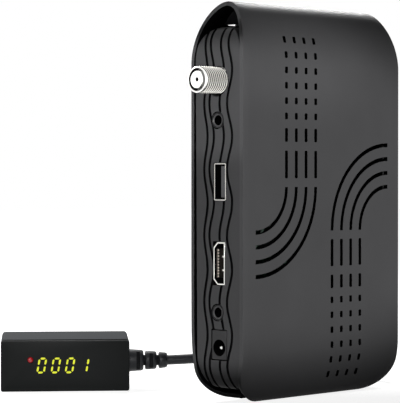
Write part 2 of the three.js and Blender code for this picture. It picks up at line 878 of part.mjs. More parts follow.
function displayFront() {
  const x1 = displayWidth / 2;
  const outline = roundedOutline(-x1, x1, 0, displayHeight, displayCorner / 2);
  const plate = prismY(outline, 0, displayFrontThickness);
  const bars = barPrisms(digitGap, -overrun, displayFrontThickness + overrun);
  return cut(plate, bars, rodY(lampRadius + clearance / 2, -overrun, displayFrontThickness + overrun,
    lampPlace, lampHeight));
}

const blockFront = displayFrontThickness + clearance;
const guideSheet = 0.5;
const blockDepth = 4.4;
const displayBoardDepth = 1.2;
const sensorSize = 5.4;
const padMargin = 4;
const padThickness = 1;
const displayInside = displayWidth / 2 - displayWall - clearance;
const digitsFrom = digitFirst - digitWidth;
const digitsTo = digitFirst + (digitCount - 1) * digitPitch + 2 * digitWidth;

// The lit bars reach through the front plate from one thin light guide behind it
function litGuide() {
  const sheet = block(digitsFrom, digitsTo, blockFront, blockFront + guideSheet, digitMiddle - digitTall,
    digitMiddle + digitTall);
  return sheet.add(barPrisms(0, 0, blockFront + guideSheet / 2));
}

function digitBlock() {
  return block(digitsFrom, digitsTo, blockFront + guideSheet + clearance, blockFront + blockDepth,
    digitMiddle - digitTall, digitMiddle + digitTall);
}

function displayBoard() {
  const y0 = blockFront + blockDepth + clearance;
  return block(-displayInside, displayInside, y0, y0 + displayBoardDepth, displayWall + clearance,
    displayHeight - displayWall - clearance);
}

function infraredReceiver() {
  const x = displayInside - clearance - sensorSize / 2;
  return block(x - sensorSize / 2, x + sensorSize / 2, blockFront, blockFront + blockDepth,
    digitMiddle - sensorSize / 2, digitMiddle + sensorSize / 2);
}

function displayLamp() {
  return rodY(lampRadius, 0, blockFront + blockDepth, lampPlace, lampHeight);
}

function displayPad() {
  return block(-displayWidth / 2 + padMargin, displayWidth / 2 - padMargin, displayDepth + clearance,
    displayDepth + clearance + padThickness, padMargin, displayHeight - padMargin);
}

// Blocks of the strain relief: start and end as shares of its length, radius at each as shares of its own
const reliefShares = [[0, 0.37, 1, 0.92], [0.418, 0.717, 0.838, 0.795], [0.775, 1, 0.74, 0.67]];

// Strain relief with three blocks and deep grooves between them
function strainRelief() {
  const start = displayWidth / 2 + clearance;
  const neck = cordRadius + reliefWall;
  const axle = 0;
  const points = [[axle, start]];
  reliefShares.forEach(([from, to, wide, narrow], i) => {
    if (i > 0) points.push([neck, start + reliefLength * from]);
    points.push([reliefRadius * wide, start + reliefLength * from]);
    points.push([reliefRadius * narrow, start + reliefLength * to]);
    if (i < reliefShares.length - 1) points.push([neck, start + reliefLength * to]);
  });
  points.push([axle, start + reliefLength]);
  return turnedX(points, cordDepth, cordHeight, coarse);
}

// Cords
function tube(points, radius, sides, steps) {
  const section = new THREE.Shape();
  for (let i = 0; i < sides; i += 1) {
    const turn = 2 * Math.PI * (i + 1 / 2) / sides;
    const spot = [radius * Math.cos(turn), radius * Math.sin(turn)];
    if (i === 0) section.moveTo(...spot);
    else section.lineTo(...spot);
  }
  const path = new THREE.CatmullRomCurve3(points.map(p => new THREE.Vector3(...p)), false, 'centripetal');
  return solidOf(new THREE.ExtrudeGeometry(section, { steps, bevelEnabled: false, extrudePath: path }));
}

// Centre line of the coil: in on the lower layer, up in the half turn where it reverses, out on the upper one
function coilPoint(turn) {
  const fromEnd = Math.min(turn, coilTurns - turn);
  const radius = coilOuter - coilPitch * fromEnd;
  const climb = Math.min(Math.max((turn - coilTurns / 2 + 1 / 4) * 2, 0), 1);
  const rise = climb * climb * (3 - 2 * climb);
  const angle = (turn - 1 / 4) * 2 * Math.PI;
  return [
    coilX + radius * Math.cos(angle),
    coilY + radius * Math.sin(angle),
    coilFloor + coilPitch * rise,
  ];
}

const loopSteps = 24;

function coilLine() {
  const straight = cordDiameter;
  const line = [[coilX - straight, coilY - coilOuter, coilFloor]];
  for (let i = 0; i <= coilTurns * loopSteps; i += 1) line.push(coilPoint(i / loopSteps));
  line.push([coilX + straight, coilY - coilOuter, coilFloor + coilPitch]);
  return line;
}

// A tube joined ring by ring along a line of points, closed at both ends
function ringTube(line, radius, sides) {
  const points = line.map(p => new THREE.Vector3(...p));
  const corners = [];
  points.forEach((spot, i) => {
    const after = points[Math.min(i + 1, points.length - 1)];
    const ahead = after.clone().sub(points[Math.max(i - 1, 0)]).normalize();
    const across = new THREE.Vector3().crossVectors(unitZ, ahead).normalize();
    const up = new THREE.Vector3().crossVectors(ahead, across);
    for (let side = 0; side < sides; side += 1) {
      const turn = 2 * Math.PI * side / sides;
      const rim = spot.clone().addScaledVector(across, radius * Math.cos(turn));
      rim.addScaledVector(up, radius * Math.sin(turn));
      corners.push(rim.x, rim.y, rim.z);
    }
  });
  const faces = [];
  for (let i = 0; i < points.length - 1; i += 1) {
    for (let side = 0; side < sides; side += 1) {
      const a = i * sides + side;
      const b = i * sides + (side + 1) % sides;
      faces.push(a, b, b + sides, a, b + sides, a + sides);
    }
  }
  const last = (points.length - 1) * sides;
  for (let side = 1; side < sides - 1; side += 1) {
    faces.push(0, side + 1, side, last, last + side, last + side + 1);
  }
  const geometry = new THREE.BufferGeometry();
  geometry.setAttribute('position', new THREE.Float32BufferAttribute(corners, 3));
  geometry.setIndex(faces);
  return upright(geometry);
}

// Least distance between turns of the coil, less the cord's own diameter
function leastGap(line) {
  const near = loopSteps / 2;
  let least = Infinity;
  for (let i = 0; i < line.length; i += 1) {
    for (let j = i + near; j < line.length; j += 1) {
      const apart = Math.hypot(line[i][0] - line[j][0], line[i][1] - line[j][1], line[i][2] - line[j][2]);
      least = Math.min(least, apart - cordDiameter);
    }
  }
  return least;
}

console.log('least gap between turns of the coil', leastGap(coilLine()).toFixed(2), 'mm');

// Tie round the bundle of turns, on the side away from the receiver
function coilTie() {
  const inner = coilOuter - coilPitch * coilTurns / 2 - cordRadius;
  const y0 = coilY + Math.sqrt(inner ** 2 - (tieWidth / 2) ** 2) - tieGap;
  const y1 = coilY + coilOuter + cordRadius + tieGap;
  const z1 = tieThickness + 2 * tieGap + coilPitch + cordDiameter;
  const corner = cordRadius / 2;
  const outer = roundedOutline(y0 - tieThickness, y1 + tieThickness, 0, z1 + tieThickness, corner, 3);
  const hole = roundedOutline(y0, y1, tieThickness, z1, corner - tieThickness, 3);
  return prismX(outer, coilX - tieWidth / 2, coilX + tieWidth / 2)
    .subtract(prismX(hole, coilX - tieWidth, coilX + tieWidth));
}

// Right-angled plug: the shaft goes into the far side and the cord leaves downward
const plugFace = half - panelRecess + clearance;
const plugX = plugFace + plugReach / 2;
const nubTop = displayJackHeight - plugBelow;

function plugGrip() {
  const outline = roundedOutline(plugFace, plugFace + plugReach, nubTop, displayJackHeight + plugAbove,
    plugReach / 4, 4);
  const grip = prismY(outline, jackPlace - plugWidth / 2, jackPlace + plugWidth / 2);
  const nubRadius = (plugWidth - wall) / 2;
  const nub = new THREE.CylinderGeometry(nubRadius, cordRadius + clearance, plugNub, coarse);
  nub.rotateX(90 * degree);
  nub.translate(plugX, jackPlace, nubTop - plugNub / 2 + clearance);
  return grip.add(solidOf(nub));
}

function plugShaft() {
  const root = plugFace - clearance;
  const tip = root - shaftLength;
  const groove = shaftRadius * 4 / 5;
  const points = [
    [0, tip], [shaftRadius / 2, tip], [shaftRadius, tip + shaftRadius], [groove, tip + 2 * shaftRadius],
  ];
  for (const share of [0.35, 0.5]) {
    const place = tip + shaftLength * share;
    points.push([shaftRadius, place - shaftRadius / 3]);
    points.push([groove, place]);
    points.push([shaftRadius, place + shaftRadius / 3]);
  }
  points.push([shaftRadius, root], [0, root]);
  return turnedX(points, jackPlace, displayJackHeight);
}

// Materials
const black = 0x2b2c2d;
const looks = {
  shell: { color: 0x4a4b4c, roughness: 0.55, metalness: 0 },
  panel: { color: 0x3c3d3e, roughness: 0.6, metalness: 0 },
  nickel: { color: 0xc9c9c6, roughness: 0.28, metalness: 1 },
  gold: { color: 0xd8b46a, roughness: 0.3, metalness: 1 },
  plasticBlack: { color: black, roughness: 0.45, metalness: 0 },
  plasticWhite: { color: 0xe6e4dc, roughness: 0.5, metalness: 0 },
  boardGreen: { color: 0x1f5a3a, roughness: 0.5, metalness: 0 },
  aluminium: { color: 0xa9abad, roughness: 0.4, metalness: 1 },
  window: { color: 0x1c1e1f, roughness: 0.2, metalness: 0 },
  lit: { color: 0xd9e021, roughness: 0.4, metalness: 0 },
  lampRed: { color: 0xd0202a, roughness: 0.3, metalness: 0 },
  rubber: { color: 0x26282b, roughness: 0.6, metalness: 0 },
  foam: { color: 0xd8d6d0, roughness: 0.9, metalness: 0 },
};

const receiver = new THREE.Group();

function piece(name, solid, look, group = receiver) {
  const geometry = geometryOf(solid);
  geometry.computeVertexNormals();
  const mesh = new THREE.Mesh(geometry, new THREE.MeshStandardMaterial({ ...looks[look] }));
  mesh.name = name;
  group.add(mesh);
}

piece('front_cover', frontCover(), 'shell');
piece('back_cover', backCover(), 'shell');
piece('port_panel', portPanel(), 'panel');
piece('far_panel', farPanel(), 'panel');
piece('circuit_board', circuitBoard(), 'boardGreen');
piece('tuner_can', tunerCan(), 'nickel');
piece('antenna_socket', antennaBody(), 'nickel');
piece('antenna_insulator', antennaInsulator(), 'plasticWhite');
piece('antenna_contact', antennaContact(), 'gold');
piece('serial_jack', jackBody(serialHeight), 'plasticBlack');
piece('serial_collar', jackCollar(serialHeight), 'plasticBlack');
piece('audio_jack', jackBody(audioHeight), 'plasticBlack');
piece('audio_collar', jackCollar(audioHeight), 'plasticBlack');
piece('display_jack', jackBody(displayJackHeight).scale([-1, 1, 1]), 'plasticBlack');
piece('display_collar', jackCollar(displayJackHeight).scale([-1, 1, 1]), 'plasticBlack');
piece('usb_shell', socketShell(usbOutline(0), usbOutline(socketWall)), 'nickel');
piece('usb_tongue', usbTonguePart(), 'plasticBlack');
piece('usb_contacts', contactRow(4, usbTall * 3 / 4, 2 / 5, socketLength * 2 / 3,
  usbTongueBack + contactSeat, usbHeight), 'gold');
piece('video_shell', socketShell(videoOutline(0), videoOutline(socketWall)), 'nickel');
piece('video_tongue', videoTonguePart(), 'plasticBlack');
piece('video_contacts', contactRow(9, videoTall * 3 / 5, 1 / 2, socketLength * 2 / 3,
  videoTongueFront - contactSeat, videoHeight), 'gold');
piece('power_jack', powerBody(), 'plasticBlack');
piece('power_pin', powerPin(), 'nickel');
piece('main_chip', onBoard(chipX, chipZ, chipSize, chipSize, chipHeight), 'plasticBlack');
piece('heat_sink', heatSink(), 'aluminium');
[-1, 1].forEach((side, i) => piece(`memory_chip_${i + 1}`, memoryChip(side), 'plasticBlack'));
piece('flash_chip', onBoard(-chipSize, chipZ, flashWidth, flashTall, chipHeight), 'plasticBlack');
piece('crystal', crystal(), 'nickel');
[0, 1, 2].forEach(i => piece(`inductor_${i + 1}`, inductor(i), 'plasticBlack'));
[0, 1, 2].forEach(i => piece(`capacitor_${i + 1}`, capacitor(i), 'aluminium'));
postPlaces.forEach((place, i) => piece(`board_screw_${i + 1}`, boardScrew(place), 'nickel'));
[coverPostTop, coverPostLow].forEach((z, i) => piece(`cover_screw_${i + 1}`, coverScrew(z), 'nickel'));

const display = new THREE.Group();
display.position.set(displayX, displayY, 0);
display.rotation.z = displayTurn * degree;
receiver.add(display);

piece('display_housing', displayHousing(), 'plasticBlack', display);
piece('display_front', displayFront(), 'window', display);
piece('lit_guide', litGuide(), 'lit', display);
piece('digit_block', digitBlock(), 'plasticBlack', display);
piece('display_lamp', displayLamp(), 'lampRed', display);
piece('display_board', displayBoard(), 'boardGreen', display);
piece('infrared_receiver', infraredReceiver(), 'plasticBlack', display);
piece('display_pad', displayPad(), 'foam', display);
piece('strain_relief', strainRelief(), 'rubber', display);

piece('cord_to_coil', tube(startRoute, cordRadius, 8, 14), 'rubber');
piece('cord_coil', ringTube(coilLine(), cordRadius, 6), 'rubber');
piece('cord_to_plug', tube(endRoute, cordRadius, 8, 14), 'rubber');
piece('coil_tie', coilTie(), 'rubber');
piece('plug_grip', plugGrip(), 'rubber');
piece('plug_shaft', plugShaft(), 'nickel');

export default receiver;
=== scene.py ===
# A small satellite receiver standing on its short end, with a plug-in display on a lead.
import math
import bmesh
import bpy
from mathutils import Matrix, Vector


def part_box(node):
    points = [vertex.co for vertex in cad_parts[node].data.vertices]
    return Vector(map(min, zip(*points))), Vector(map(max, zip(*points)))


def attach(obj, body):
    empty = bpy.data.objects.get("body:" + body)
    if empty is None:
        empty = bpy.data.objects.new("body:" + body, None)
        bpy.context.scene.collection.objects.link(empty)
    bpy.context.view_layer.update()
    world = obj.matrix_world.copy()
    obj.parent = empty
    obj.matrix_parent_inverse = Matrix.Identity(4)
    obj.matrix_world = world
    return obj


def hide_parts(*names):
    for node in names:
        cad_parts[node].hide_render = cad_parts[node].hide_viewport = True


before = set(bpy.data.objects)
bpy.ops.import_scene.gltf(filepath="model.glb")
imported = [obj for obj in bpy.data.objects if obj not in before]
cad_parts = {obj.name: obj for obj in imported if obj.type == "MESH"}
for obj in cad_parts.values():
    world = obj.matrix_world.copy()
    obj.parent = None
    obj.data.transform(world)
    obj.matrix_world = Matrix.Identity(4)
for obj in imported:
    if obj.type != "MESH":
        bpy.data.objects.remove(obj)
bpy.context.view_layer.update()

mm = 0.001    # sizes below are in millimetres, lamps and the camera in metres
print("scene: frame loaded")


# small helpers for working by hand
def sizes(values, names):
    return [values[name] for name in names.split()]


def around(middle, half):
    return (middle - half, middle + half)


def pieceName(node):
    first, *others = node.split("_")
    return first + "".join(word.title() for word in others)


def choose(*pieces):
    if bpy.context.object and bpy.context.object.mode != "OBJECT":
        bpy.ops.object.mode_set(mode="OBJECT")
    bpy.ops.object.select_all(action="DESELECT")
    for piece in pieces:
        piece.select_set(True)
    if pieces:
        bpy.context.view_layer.objects.active = pieces[-1]


def named(name):
    # what was just added, under this name
    bpy.context.object.name = name
    return bpy.context.object


def edit(piece):
    choose(piece)
    bpy.ops.object.mode_set(mode="EDIT")
    bpy.ops.mesh.select_mode(type="VERT")


def done():
    bpy.ops.object.mode_set(mode="OBJECT")


def everything():
    bpy.ops.mesh.select_all(action="SELECT")


def pick(piece, kind, test):
    # in edit mode: selects the vertices, edges or faces that pass a test of the item and its middle
    bpy.ops.mesh.select_mode(type=kind)
    bpy.ops.mesh.select_all(action="DESELECT")
    shape = bmesh.from_edit_mesh(piece.data)
    for item in {"VERT": shape.verts, "EDGE": shape.edges, "FACE": shape.faces}[kind]:
        corners = [item.co] if kind == "VERT" else [vertex.co for vertex in item.verts]
        if test(item, sum(corners, Vector()) / len(corners)):
            item.select_set(True)
    bmesh.update_edit_mesh(piece.data)


def settle(piece):
    choose(piece)
    bpy.ops.object.transform_apply(location=True, rotation=True, scale=True)
    return piece


def modify(piece, kind, **settings):
    choose(piece)
    modifier = piece.modifiers.new("shape", kind)
    for key, value in settings.items():
        setattr(modifier, key, value)
    bpy.ops.object.modifier_apply(modifier=modifier.name)
    return piece


def outward(piece):
    edit(piece)
    everything()
    bpy.ops.mesh.remove_doubles(threshold=1e-6)
    bpy.ops.mesh.normals_make_consistent(inside=False)
    done()
    return piece


def mirrored(piece):
    # the same shape on the other side in X
    piece.scale = (-1, 1, 1)
    return outward(settle(piece))


def combine(first, tool, operation="DIFFERENCE"):
    modify(first, "BOOLEAN", operation=operation, solver="EXACT", object=tool, material_mode="TRANSFER")
    bpy.data.objects.remove(tool)
    return first


def coat(piece, look):
    piece.data.materials.clear()
    piece.data.materials.append(looks[look])
    return piece


def recoat(piece, look, test):
    # the faces that pass the test get a second finish
    piece.data.materials.append(looks[look])
    edit(piece)
    pick(piece, "FACE", test)
    piece.active_material_index = 1
    bpy.ops.object.material_slot_assign()
    done()
    return piece


def roundEdges(piece, test, width, segments):
    edit(piece)
    pick(piece, "EDGE", test)
    bpy.ops.mesh.bevel(offset=width * mm, segments=segments)
    done()


def runsBack(item, middle):
    # true for an edge that runs from front to back
    return abs(item.verts[0].co.y - item.verts[1].co.y) > 0.5 * mm


def weld(*pieces):
    choose(*pieces[1:], pieces[0])
    bpy.ops.object.join()
    return pieces[0]


def soften(piece, width, segments=2, angle=30):
    modify(piece, "BEVEL", width=width * mm, segments=segments, limit_method="ANGLE",
           angle_limit=math.radians(angle), use_clamp_overlap=True, miter_outer="MITER_ARC")
    smooth(piece)
    return piece


def smooth(piece, angle=32):
    choose(piece)
    bpy.ops.object.shade_smooth_by_angle(angle=math.radians(angle))
    return piece


def box(name, x, y, z, round=0.0, segments=2):
    # a box from its low and high edges, its corners rounded
    bpy.ops.mesh.primitive_cube_add(size=1, location=[(a[0] + a[1]) / 2 * mm for a in (x, y, z)],
                                    scale=[(a[1] - a[0]) * mm for a in (x, y, z)])
    piece = settle(named(name))
    return soften(piece, round, segments) if round else piece


def rod(name, radius, start, end, axis, place, sides=32):
    # a round rod along X or Y; place is the other two coordinates
    middle = (start + end) / 2
    where = (middle, place[0], place[1]) if axis == "X" else (place[0], middle, place[1])
    turn = (0, math.pi / 2, 0) if axis == "X" else (math.pi / 2, 0, 0)
    bpy.ops.mesh.primitive_cylinder_add(vertices=sides, radius=radius * mm, depth=(end - start) * mm,
                                        location=[a * mm for a in where], rotation=turn)
    return settle(named(name))


def drawLine(name, points):
    # a vertex is set down and extruded from point to point; edit mode stays on, all selected
    bpy.ops.mesh.primitive_plane_add(size=mm)
    piece = named(name)
    edit(piece)
    bpy.ops.mesh.merge(type="CENTER")
    bpy.ops.transform.translate(value=points[0])
    for before, after in zip(points, points[1:]):
        bpy.ops.mesh.extrude_vertices_move(TRANSFORM_OT_translate={"value": after - before})
    everything()
    return piece


def turned(name, profile, place, sides=48, axis="X", angle=32):
    # a turned piece: the profile's points, a radius and a place along the axis each, are spun round it;
    # one that starts off the axis is closed
    if profile[0][0]:
        profile = list(profile) + [profile[0]]
    piece = drawLine(name, [Vector((along, 0, radius)) * mm for radius, along in profile])
    bpy.ops.mesh.remove_doubles(threshold=1e-7)
    everything()
    bpy.ops.mesh.spin(steps=sides, angle=math.tau, center=(0, 0, 0), axis=(1, 0, 0))
    everything()
    bpy.ops.mesh.remove_doubles(threshold=2e-6)
    bpy.ops.mesh.normals_make_consistent(inside=False)
    done()
    u, v = [a * mm for a in place]
    piece.location = {"X": (0, u, v), "Y": (u, 0, v), "Z": (u, v, 0)}[axis]
    piece.rotation_euler = {"X": (0, 0, 0), "Y": (0, 0, math.pi / 2), "Z": (0, -math.pi / 2, 0)}[axis]
    return smooth(settle(piece), angle)


def outlineSolid(name, points, start, end, axis):
    # a flat outline is filled and pulled along X or Y
    def spot(u, v, along):
        return Vector((along, u, v) if axis == "X" else (u, along, v)) * mm
    piece = drawLine(name, [spot(*point, start) for point in points])
    bpy.ops.mesh.edge_face_add()
    everything()
    pull = spot(*points[0], end) - spot(*points[0], start)
    bpy.ops.mesh.extrude_region_move(TRANSFORM_OT_translate={"value": pull})
    everything()
    bpy.ops.mesh.normals_make_consistent(inside=False)
    done()
    return piece


def ruled(name, rows, columns):
    # a sheet drawn row by row: each row is its place in Y and Z and its two ends in X
    bpy.ops.mesh.primitive_plane_add(size=2 * mm)
    piece = named(name)
    edit(piece)
    pick(piece, "VERT", lambda item, middle: middle.y > 0)
    bpy.ops.mesh.delete(type="VERT")
    everything()
    y, z, low, high = rows[0]
    bpy.ops.transform.resize(value=((high - low) / 2, 1, 1), center_override=(0, -mm, 0))
    bpy.ops.transform.translate(value=((low + high) / 2 * mm, (y + 1) * mm, z * mm))
    for before, after in zip(rows, rows[1:]):
        start, end = [Vector(((low + high) / 2, y, z)) * mm for y, z, low, high in (before, after)]
        bpy.ops.mesh.extrude_region_move(TRANSFORM_OT_translate={"value": end - start})
        wide = (after[3] - after[2]) / (before[3] - before[2])
        bpy.ops.transform.resize(value=(wide, 1, 1), center_override=end)
    if columns > 1:
        pick(piece, "EDGE", lambda item, middle: all(
            abs(item.verts[0].co[axis] - item.verts[1].co[axis]) < 1e-7 for axis in (1, 2)))
        bpy.ops.mesh.subdivide(number_cuts=columns - 1)
    done()
    return piece


def shifted(profile, start):
    return [(radius, start + along) for radius, along in profile]


def arc(centre, reach, power, start, end, steps):
    # points of a rounded corner, from one turn in degrees to another
    points = []
    for i in range(steps + 1):
        turn = math.radians(start + (end - start) * i / steps)
        across, up = math.cos(turn), math.sin(turn)
        points.append((centre[0] + reach[0] * math.copysign(abs(across) ** (2 / power), across),
                       centre[1] + reach[1] * math.copysign(abs(up) ** (2 / power), up)))
    return points


def dressedCopy(node, look, edge, slot, body):
    # a copy of a CAD node: its loose triangles merged, its flats made whole faces, its edges rounded
    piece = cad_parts[node].copy()
    piece.data = piece.data.copy()
    piece.name = pieceName(node)
    bpy.context.scene.collection.objects.link(piece)
    piece.parent = None
    piece.matrix_world = Matrix.Identity(4)
    piece.data.materials.clear()
    edit(piece)
    everything()
    bpy.ops.mesh.remove_doubles(threshold=1e-5)
    bpy.ops.mesh.dissolve_limited(angle_limit=math.radians(1))
    done()
    return dress(coat(soften(piece, edge), look), slot, node, body=body)


# finishes
def shade(red, green, blue):
    # a screen colour from 0 to 255 as a light value
    return tuple(((c / 255 + 0.055) / 1.055) ** 2.4 if c > 10 else c / 255 / 12.92
                 for c in (red, green, blue)) + (1,)


def addNode(tree, kind, values={}, **settings):
    node = tree.nodes.new("ShaderNode" + kind)
    for key, value in values.items():
        node.inputs[key].default_value = value
    for key, value in settings.items():
        setattr(node, key, value)
    return node


def wire(tree, *steps):
    # each step is a node and its output, then a node and its input
    for start, output, end, socket in steps:
        tree.links.new(start.outputs[output], end.inputs[socket])


def newMaterial(name):
    material = bpy.data.materials.new(name)
    material.use_nodes = True
    return material, material.node_tree, material.node_tree.nodes["Principled BSDF"]


def finish(name, colour, variation, blotch, rough, roughSpread, grain, grainSize, metal=0.0, specular=0.5,
           coat=0.0, stretch=(1, 1, 1), glow=None, glowStrength=0.0):
    material, tree, shader = newMaterial(name)
    colour = shade(*colour)
    for key, value in {"Metallic": metal, "Specular IOR Level": specular, "Coat Weight": coat,
                       "Coat Roughness": 0.1}.items():
        shader.inputs[key].default_value = value
    place = addNode(tree, "TexCoord")
    mapping = addNode(tree, "Mapping", {"Scale": stretch})
    # slow change of colour over the moulding
    cloud = addNode(tree, "TexNoise", {"Scale": blotch, "Detail": 4})
    ramp = addNode(tree, "ValToRGB")
    for stop, position, part in zip(ramp.color_ramp.elements, (0.3, 0.7), around(1, variation)):
        stop.position = position
        stop.color = tuple(min(c * part, 1) for c in colour[:3]) + (1,)
    # fine texture: gloss and relief
    fine = addNode(tree, "TexNoise", {"Scale": grainSize, "Detail": 3})
    gloss = addNode(tree, "MapRange", {"To Min": max(rough - roughSpread, 0.02),
                                       "To Max": min(rough + roughSpread, 1)})
    wire(tree, (place, "Object", mapping, "Vector"), (mapping, "Vector", cloud, "Vector"),
         (cloud, "Fac", ramp, "Fac"), (ramp, "Color", shader, "Base Color"),
         (mapping, "Vector", fine, "Vector"), (fine, "Fac", gloss, "Value"),
         (gloss, "Result", shader, "Roughness"))
    if grain:
        relief = addNode(tree, "Bump", {"Strength": grain, "Distance": 0.0001})
        wire(tree, (fine, "Fac", relief, "Height"), (relief, "Normal", shader, "Normal"))
    if glow:
        shader.inputs["Emission Color"].default_value = shade(*glow)
        shader.inputs["Emission Strength"].default_value = glowStrength
    return material


def metal(name, colour, variation=0.03, rough=0.2, share=1):
    return finish(name, colour, variation, 300, rough, 0.06, 0.03, 900, metal=share)


looks = {
    "shell": finish("shellGrain", (72, 72, 73), 0.05, 45, 0.5, 0.08, 0.22, 2200, specular=0.012),
    "panel": finish("panelGrain", (64, 64, 65), 0.05, 45, 0.5, 0.08, 0.18, 2200, specular=0.04),
    "nickel": metal("brightNickel", (222, 221, 217)),
    "thread": metal("threadNickel", (252, 251, 248), share=0.9),
    "flank": metal("flankNickel", (214, 212, 206)),
    # painted shade: a dark nickel for the thread's valley and for the flanks that don't look out of the panel
    "groove": finish("paintedShadeNickel", (24, 24, 23), 0.05, 300, 0.4, 0.06, 0.04, 900, metal=1),
    "rimSteel": metal("rimSteel", (184, 182, 178), 0.04, 0.24),
    "gold": metal("contactGold", (226, 200, 150), 0.04, 0.28),
    "plastic_black": finish("socketBlack", (36, 36, 37), 0.08, 120, 0.42, 0.06, 0.1, 2600, specular=0.2),
    "plastic_white": finish("insulatorWhite", (250, 249, 245), 0.015, 120, 0.35, 0.05, 0.04, 1800),
    "aluminium": finish("extrudedAluminium", (196, 198, 200), 0.04, 200, 0.34, 0.08, 0.08, 700, metal=1,
                        stretch=(1, 1, 0.05)),
    "chip": finish("chipEpoxy", (34, 34, 36), 0.08, 220, 0.6, 0.08, 0.14, 3000),
    "display_plastic": finish("moduleGrain", (62, 65, 68), 0.05, 60, 0.75, 0.08, 0.2, 2400,
                              specular=0.08),
    "window": finish("smokedWindow", (32, 34, 34), 0.04, 60, 0.34, 0.05, 0.06, 2600, specular=0.08),
    "lit": finish("litBars", (222, 226, 40), 0.03, 300, 0.4, 0.05, 0.02, 1800,
                  glow=(226, 232, 36), glowStrength=0.55),
    "lamp": finish("redLens", (178, 18, 28), 0.05, 300, 0.12, 0.03, 0.0, 1800, coat=0.5,
                   glow=(206, 16, 24), glowStrength=0.22),
    "lip": finish("jackLip", (68, 68, 69), 0.06, 120, 0.35, 0.05, 0.06, 2600, specular=0.3),
    "tongue": finish("tongueGrey", (48, 48, 50), 0.06, 120, 0.5, 0.05, 0.06, 2600),
    "tongueBrown": finish("tongueBrown", (52, 46, 42), 0.06, 120, 0.5, 0.05, 0.06, 2600),
    "cream": finish("contactCream", (196, 186, 170), 0.06, 200, 0.4, 0.05, 0.04, 1600),
    "powerGrey": finish("powerGrey", (42, 42, 43), 0.06, 120, 0.48, 0.06, 0.12, 2600, specular=0.15),
    "rubber": finish("leadRubber", (34, 36, 40), 0.06, 90, 0.4, 0.06, 0.08, 1600, specular=0.26),
    # painted shade: a darker copy of the lead's rubber for the relief's slots and neck
    "paintedShadeRubber": finish("paintedShadeRubber", (26, 27, 30), 0.08, 90, 0.6, 0.06, 0.08, 1600, specular=0.1),
    "shadow": finish("cutShade", (8, 8, 9), 0.1, 120, 0.8, 0.06, 0.1, 2200, specular=0.03),
    "can": finish("tinnedSteel", (186, 188, 190), 0.05, 160, 0.38, 0.08, 0.08, 900, metal=1),
    "tie": finish("tieWeave", (34, 35, 38), 0.12, 500, 0.85, 0.08, 0.5, 1500),
    "foam": finish("tapeFoam", (214, 212, 206), 0.06, 500, 0.9, 0.05, 0.4, 900),
}


def boardFinish():
    # solder mask over fine tracks, with bright pads; its green is darkened as painted shade for a board that
    # lies in shade inside its case
    material = finish("solderMask", (16, 32, 25), 0.1, 260, 0.32, 0.06, 0.05, 1500, specular=0.2)
    tree = material.node_tree
    names = ("Principled BSDF", "Texture Coordinate", "Color Ramp")
    shader, place, ramp = [tree.nodes[name] for name in names]
    turn = addNode(tree, "Mapping", {"Rotation": (math.pi / 2, 0, 0)})
    tracks = addNode(tree, "TexBrick", {"Scale": 260, "Mortar Size": 0.05, "Mortar Smooth": 0.2})
    lines = addNode(tree, "MixRGB", {"Color2": shade(24, 46, 35)})
    pads = addNode(tree, "TexVoronoi", {"Scale": 340})
    near = addNode(tree, "Math", {1: 0.16}, operation="LESS_THAN")
    bright = addNode(tree, "MixRGB", {"Color2": shade(198, 190, 160)})
    wire(tree, (place, "Object", turn, "Vector"), (turn, "Vector", tracks, "Vector"),
         (tracks, "Fac", lines, "Fac"), (ramp, "Color", lines, "Color1"), (place, "Object", pads, "Vector"),
         (pads, "Distance", near, 0), (near, "Value", bright, "Fac"), (lines, "Color", bright, "Color1"),
         (bright, "Color", shader, "Base Color"))
    return material


looks["board"] = boardFinish()


def dress(piece, slot, *nodes, body="receiver"):
    if not piece.data.materials:
        piece.data.materials.append(looks[slot])
    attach(piece, body)
    if nodes:
        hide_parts(*nodes)
    return piece


print("scene: finishes made")

# camera, at the photograph's own angle
view = {"lens": 170.84, "place": (-0.52179, -0.47432, 0.08061), "turn": (90 - 0.778, 0, -44.806)}
bpy.ops.object.camera_add(location=view["place"], rotation=[math.radians(a) for a in view["turn"]])
camera = bpy.context.object
camera.data.lens = view["lens"]
camera.data.sensor_width = 36
camera.data.clip_start = 0.01
bpy.context.scene.camera = camera
bpy.context.scene.view_settings.view_transform = "Standard"

# display lead: one cord from the strain relief, through its coil, to the plug
lead = {
    "diameter": 3.7, "coilCentre": (35, 47), "coilOuter": 26, "coilPitch": 4.2, "coilTurns": 7, "floor": 2.5,
    "perTurn": 18,
    "fromDisplay": [
        (-18.59, 49.64, 10.5), (-14.39, 46.08, 10.72), (-10.2, 42.53, 10.95), (-5.6, 38.7, 10.8),
        (0.4, 34.2, 9.6), (7.2, 29.7, 7.5), (14, 25.2, 5), (20.8, 22.5, 3.3),
        (26.2, 21.25, 2.6), (30.7, 21, 2.5)],
    "toPlug": [
        (39.3, 21, 6.7), (43, 20.9, 6.4), (46.8, 20.2, 5.4), (50.4, 18.6, 4), (53.4, 16, 2.8),
        (55.6, 12.6, 2.1), (56.2, 8.8, 2.3), (55, 5.3, 4), (52.2, 2.6, 7.1), (48.9, 0.9, 11.2),
        (46.7, 0.2, 15), (46.4, 0.1, 18.8)],
}


def coilPoint(turn):
    # inward on the lower layer, up where it turns back, outward on the upper one
    fromEnd = min(turn, lead["coilTurns"] - turn)
    radius = lead["coilOuter"] - lead["coilPitch"] * fromEnd
    climb = min(max((turn - lead["coilTurns"] / 2 + 0.25) * 2, 0), 1)
    rise = climb * climb * (3 - 2 * climb)
    angle = (turn - 0.25) * math.tau
    x, y = lead["coilCentre"]
    height = lead["floor"] + lead["coilPitch"] * rise
    return (x + radius * math.cos(angle), y + radius * math.sin(angle), height)


def leadLine():
    coil = [coilPoint(i / lead["perTurn"]) for i in range(lead["coilTurns"] * lead["perTurn"] + 1)]
    return lead["fromDisplay"] + coil + lead["toPlug"]


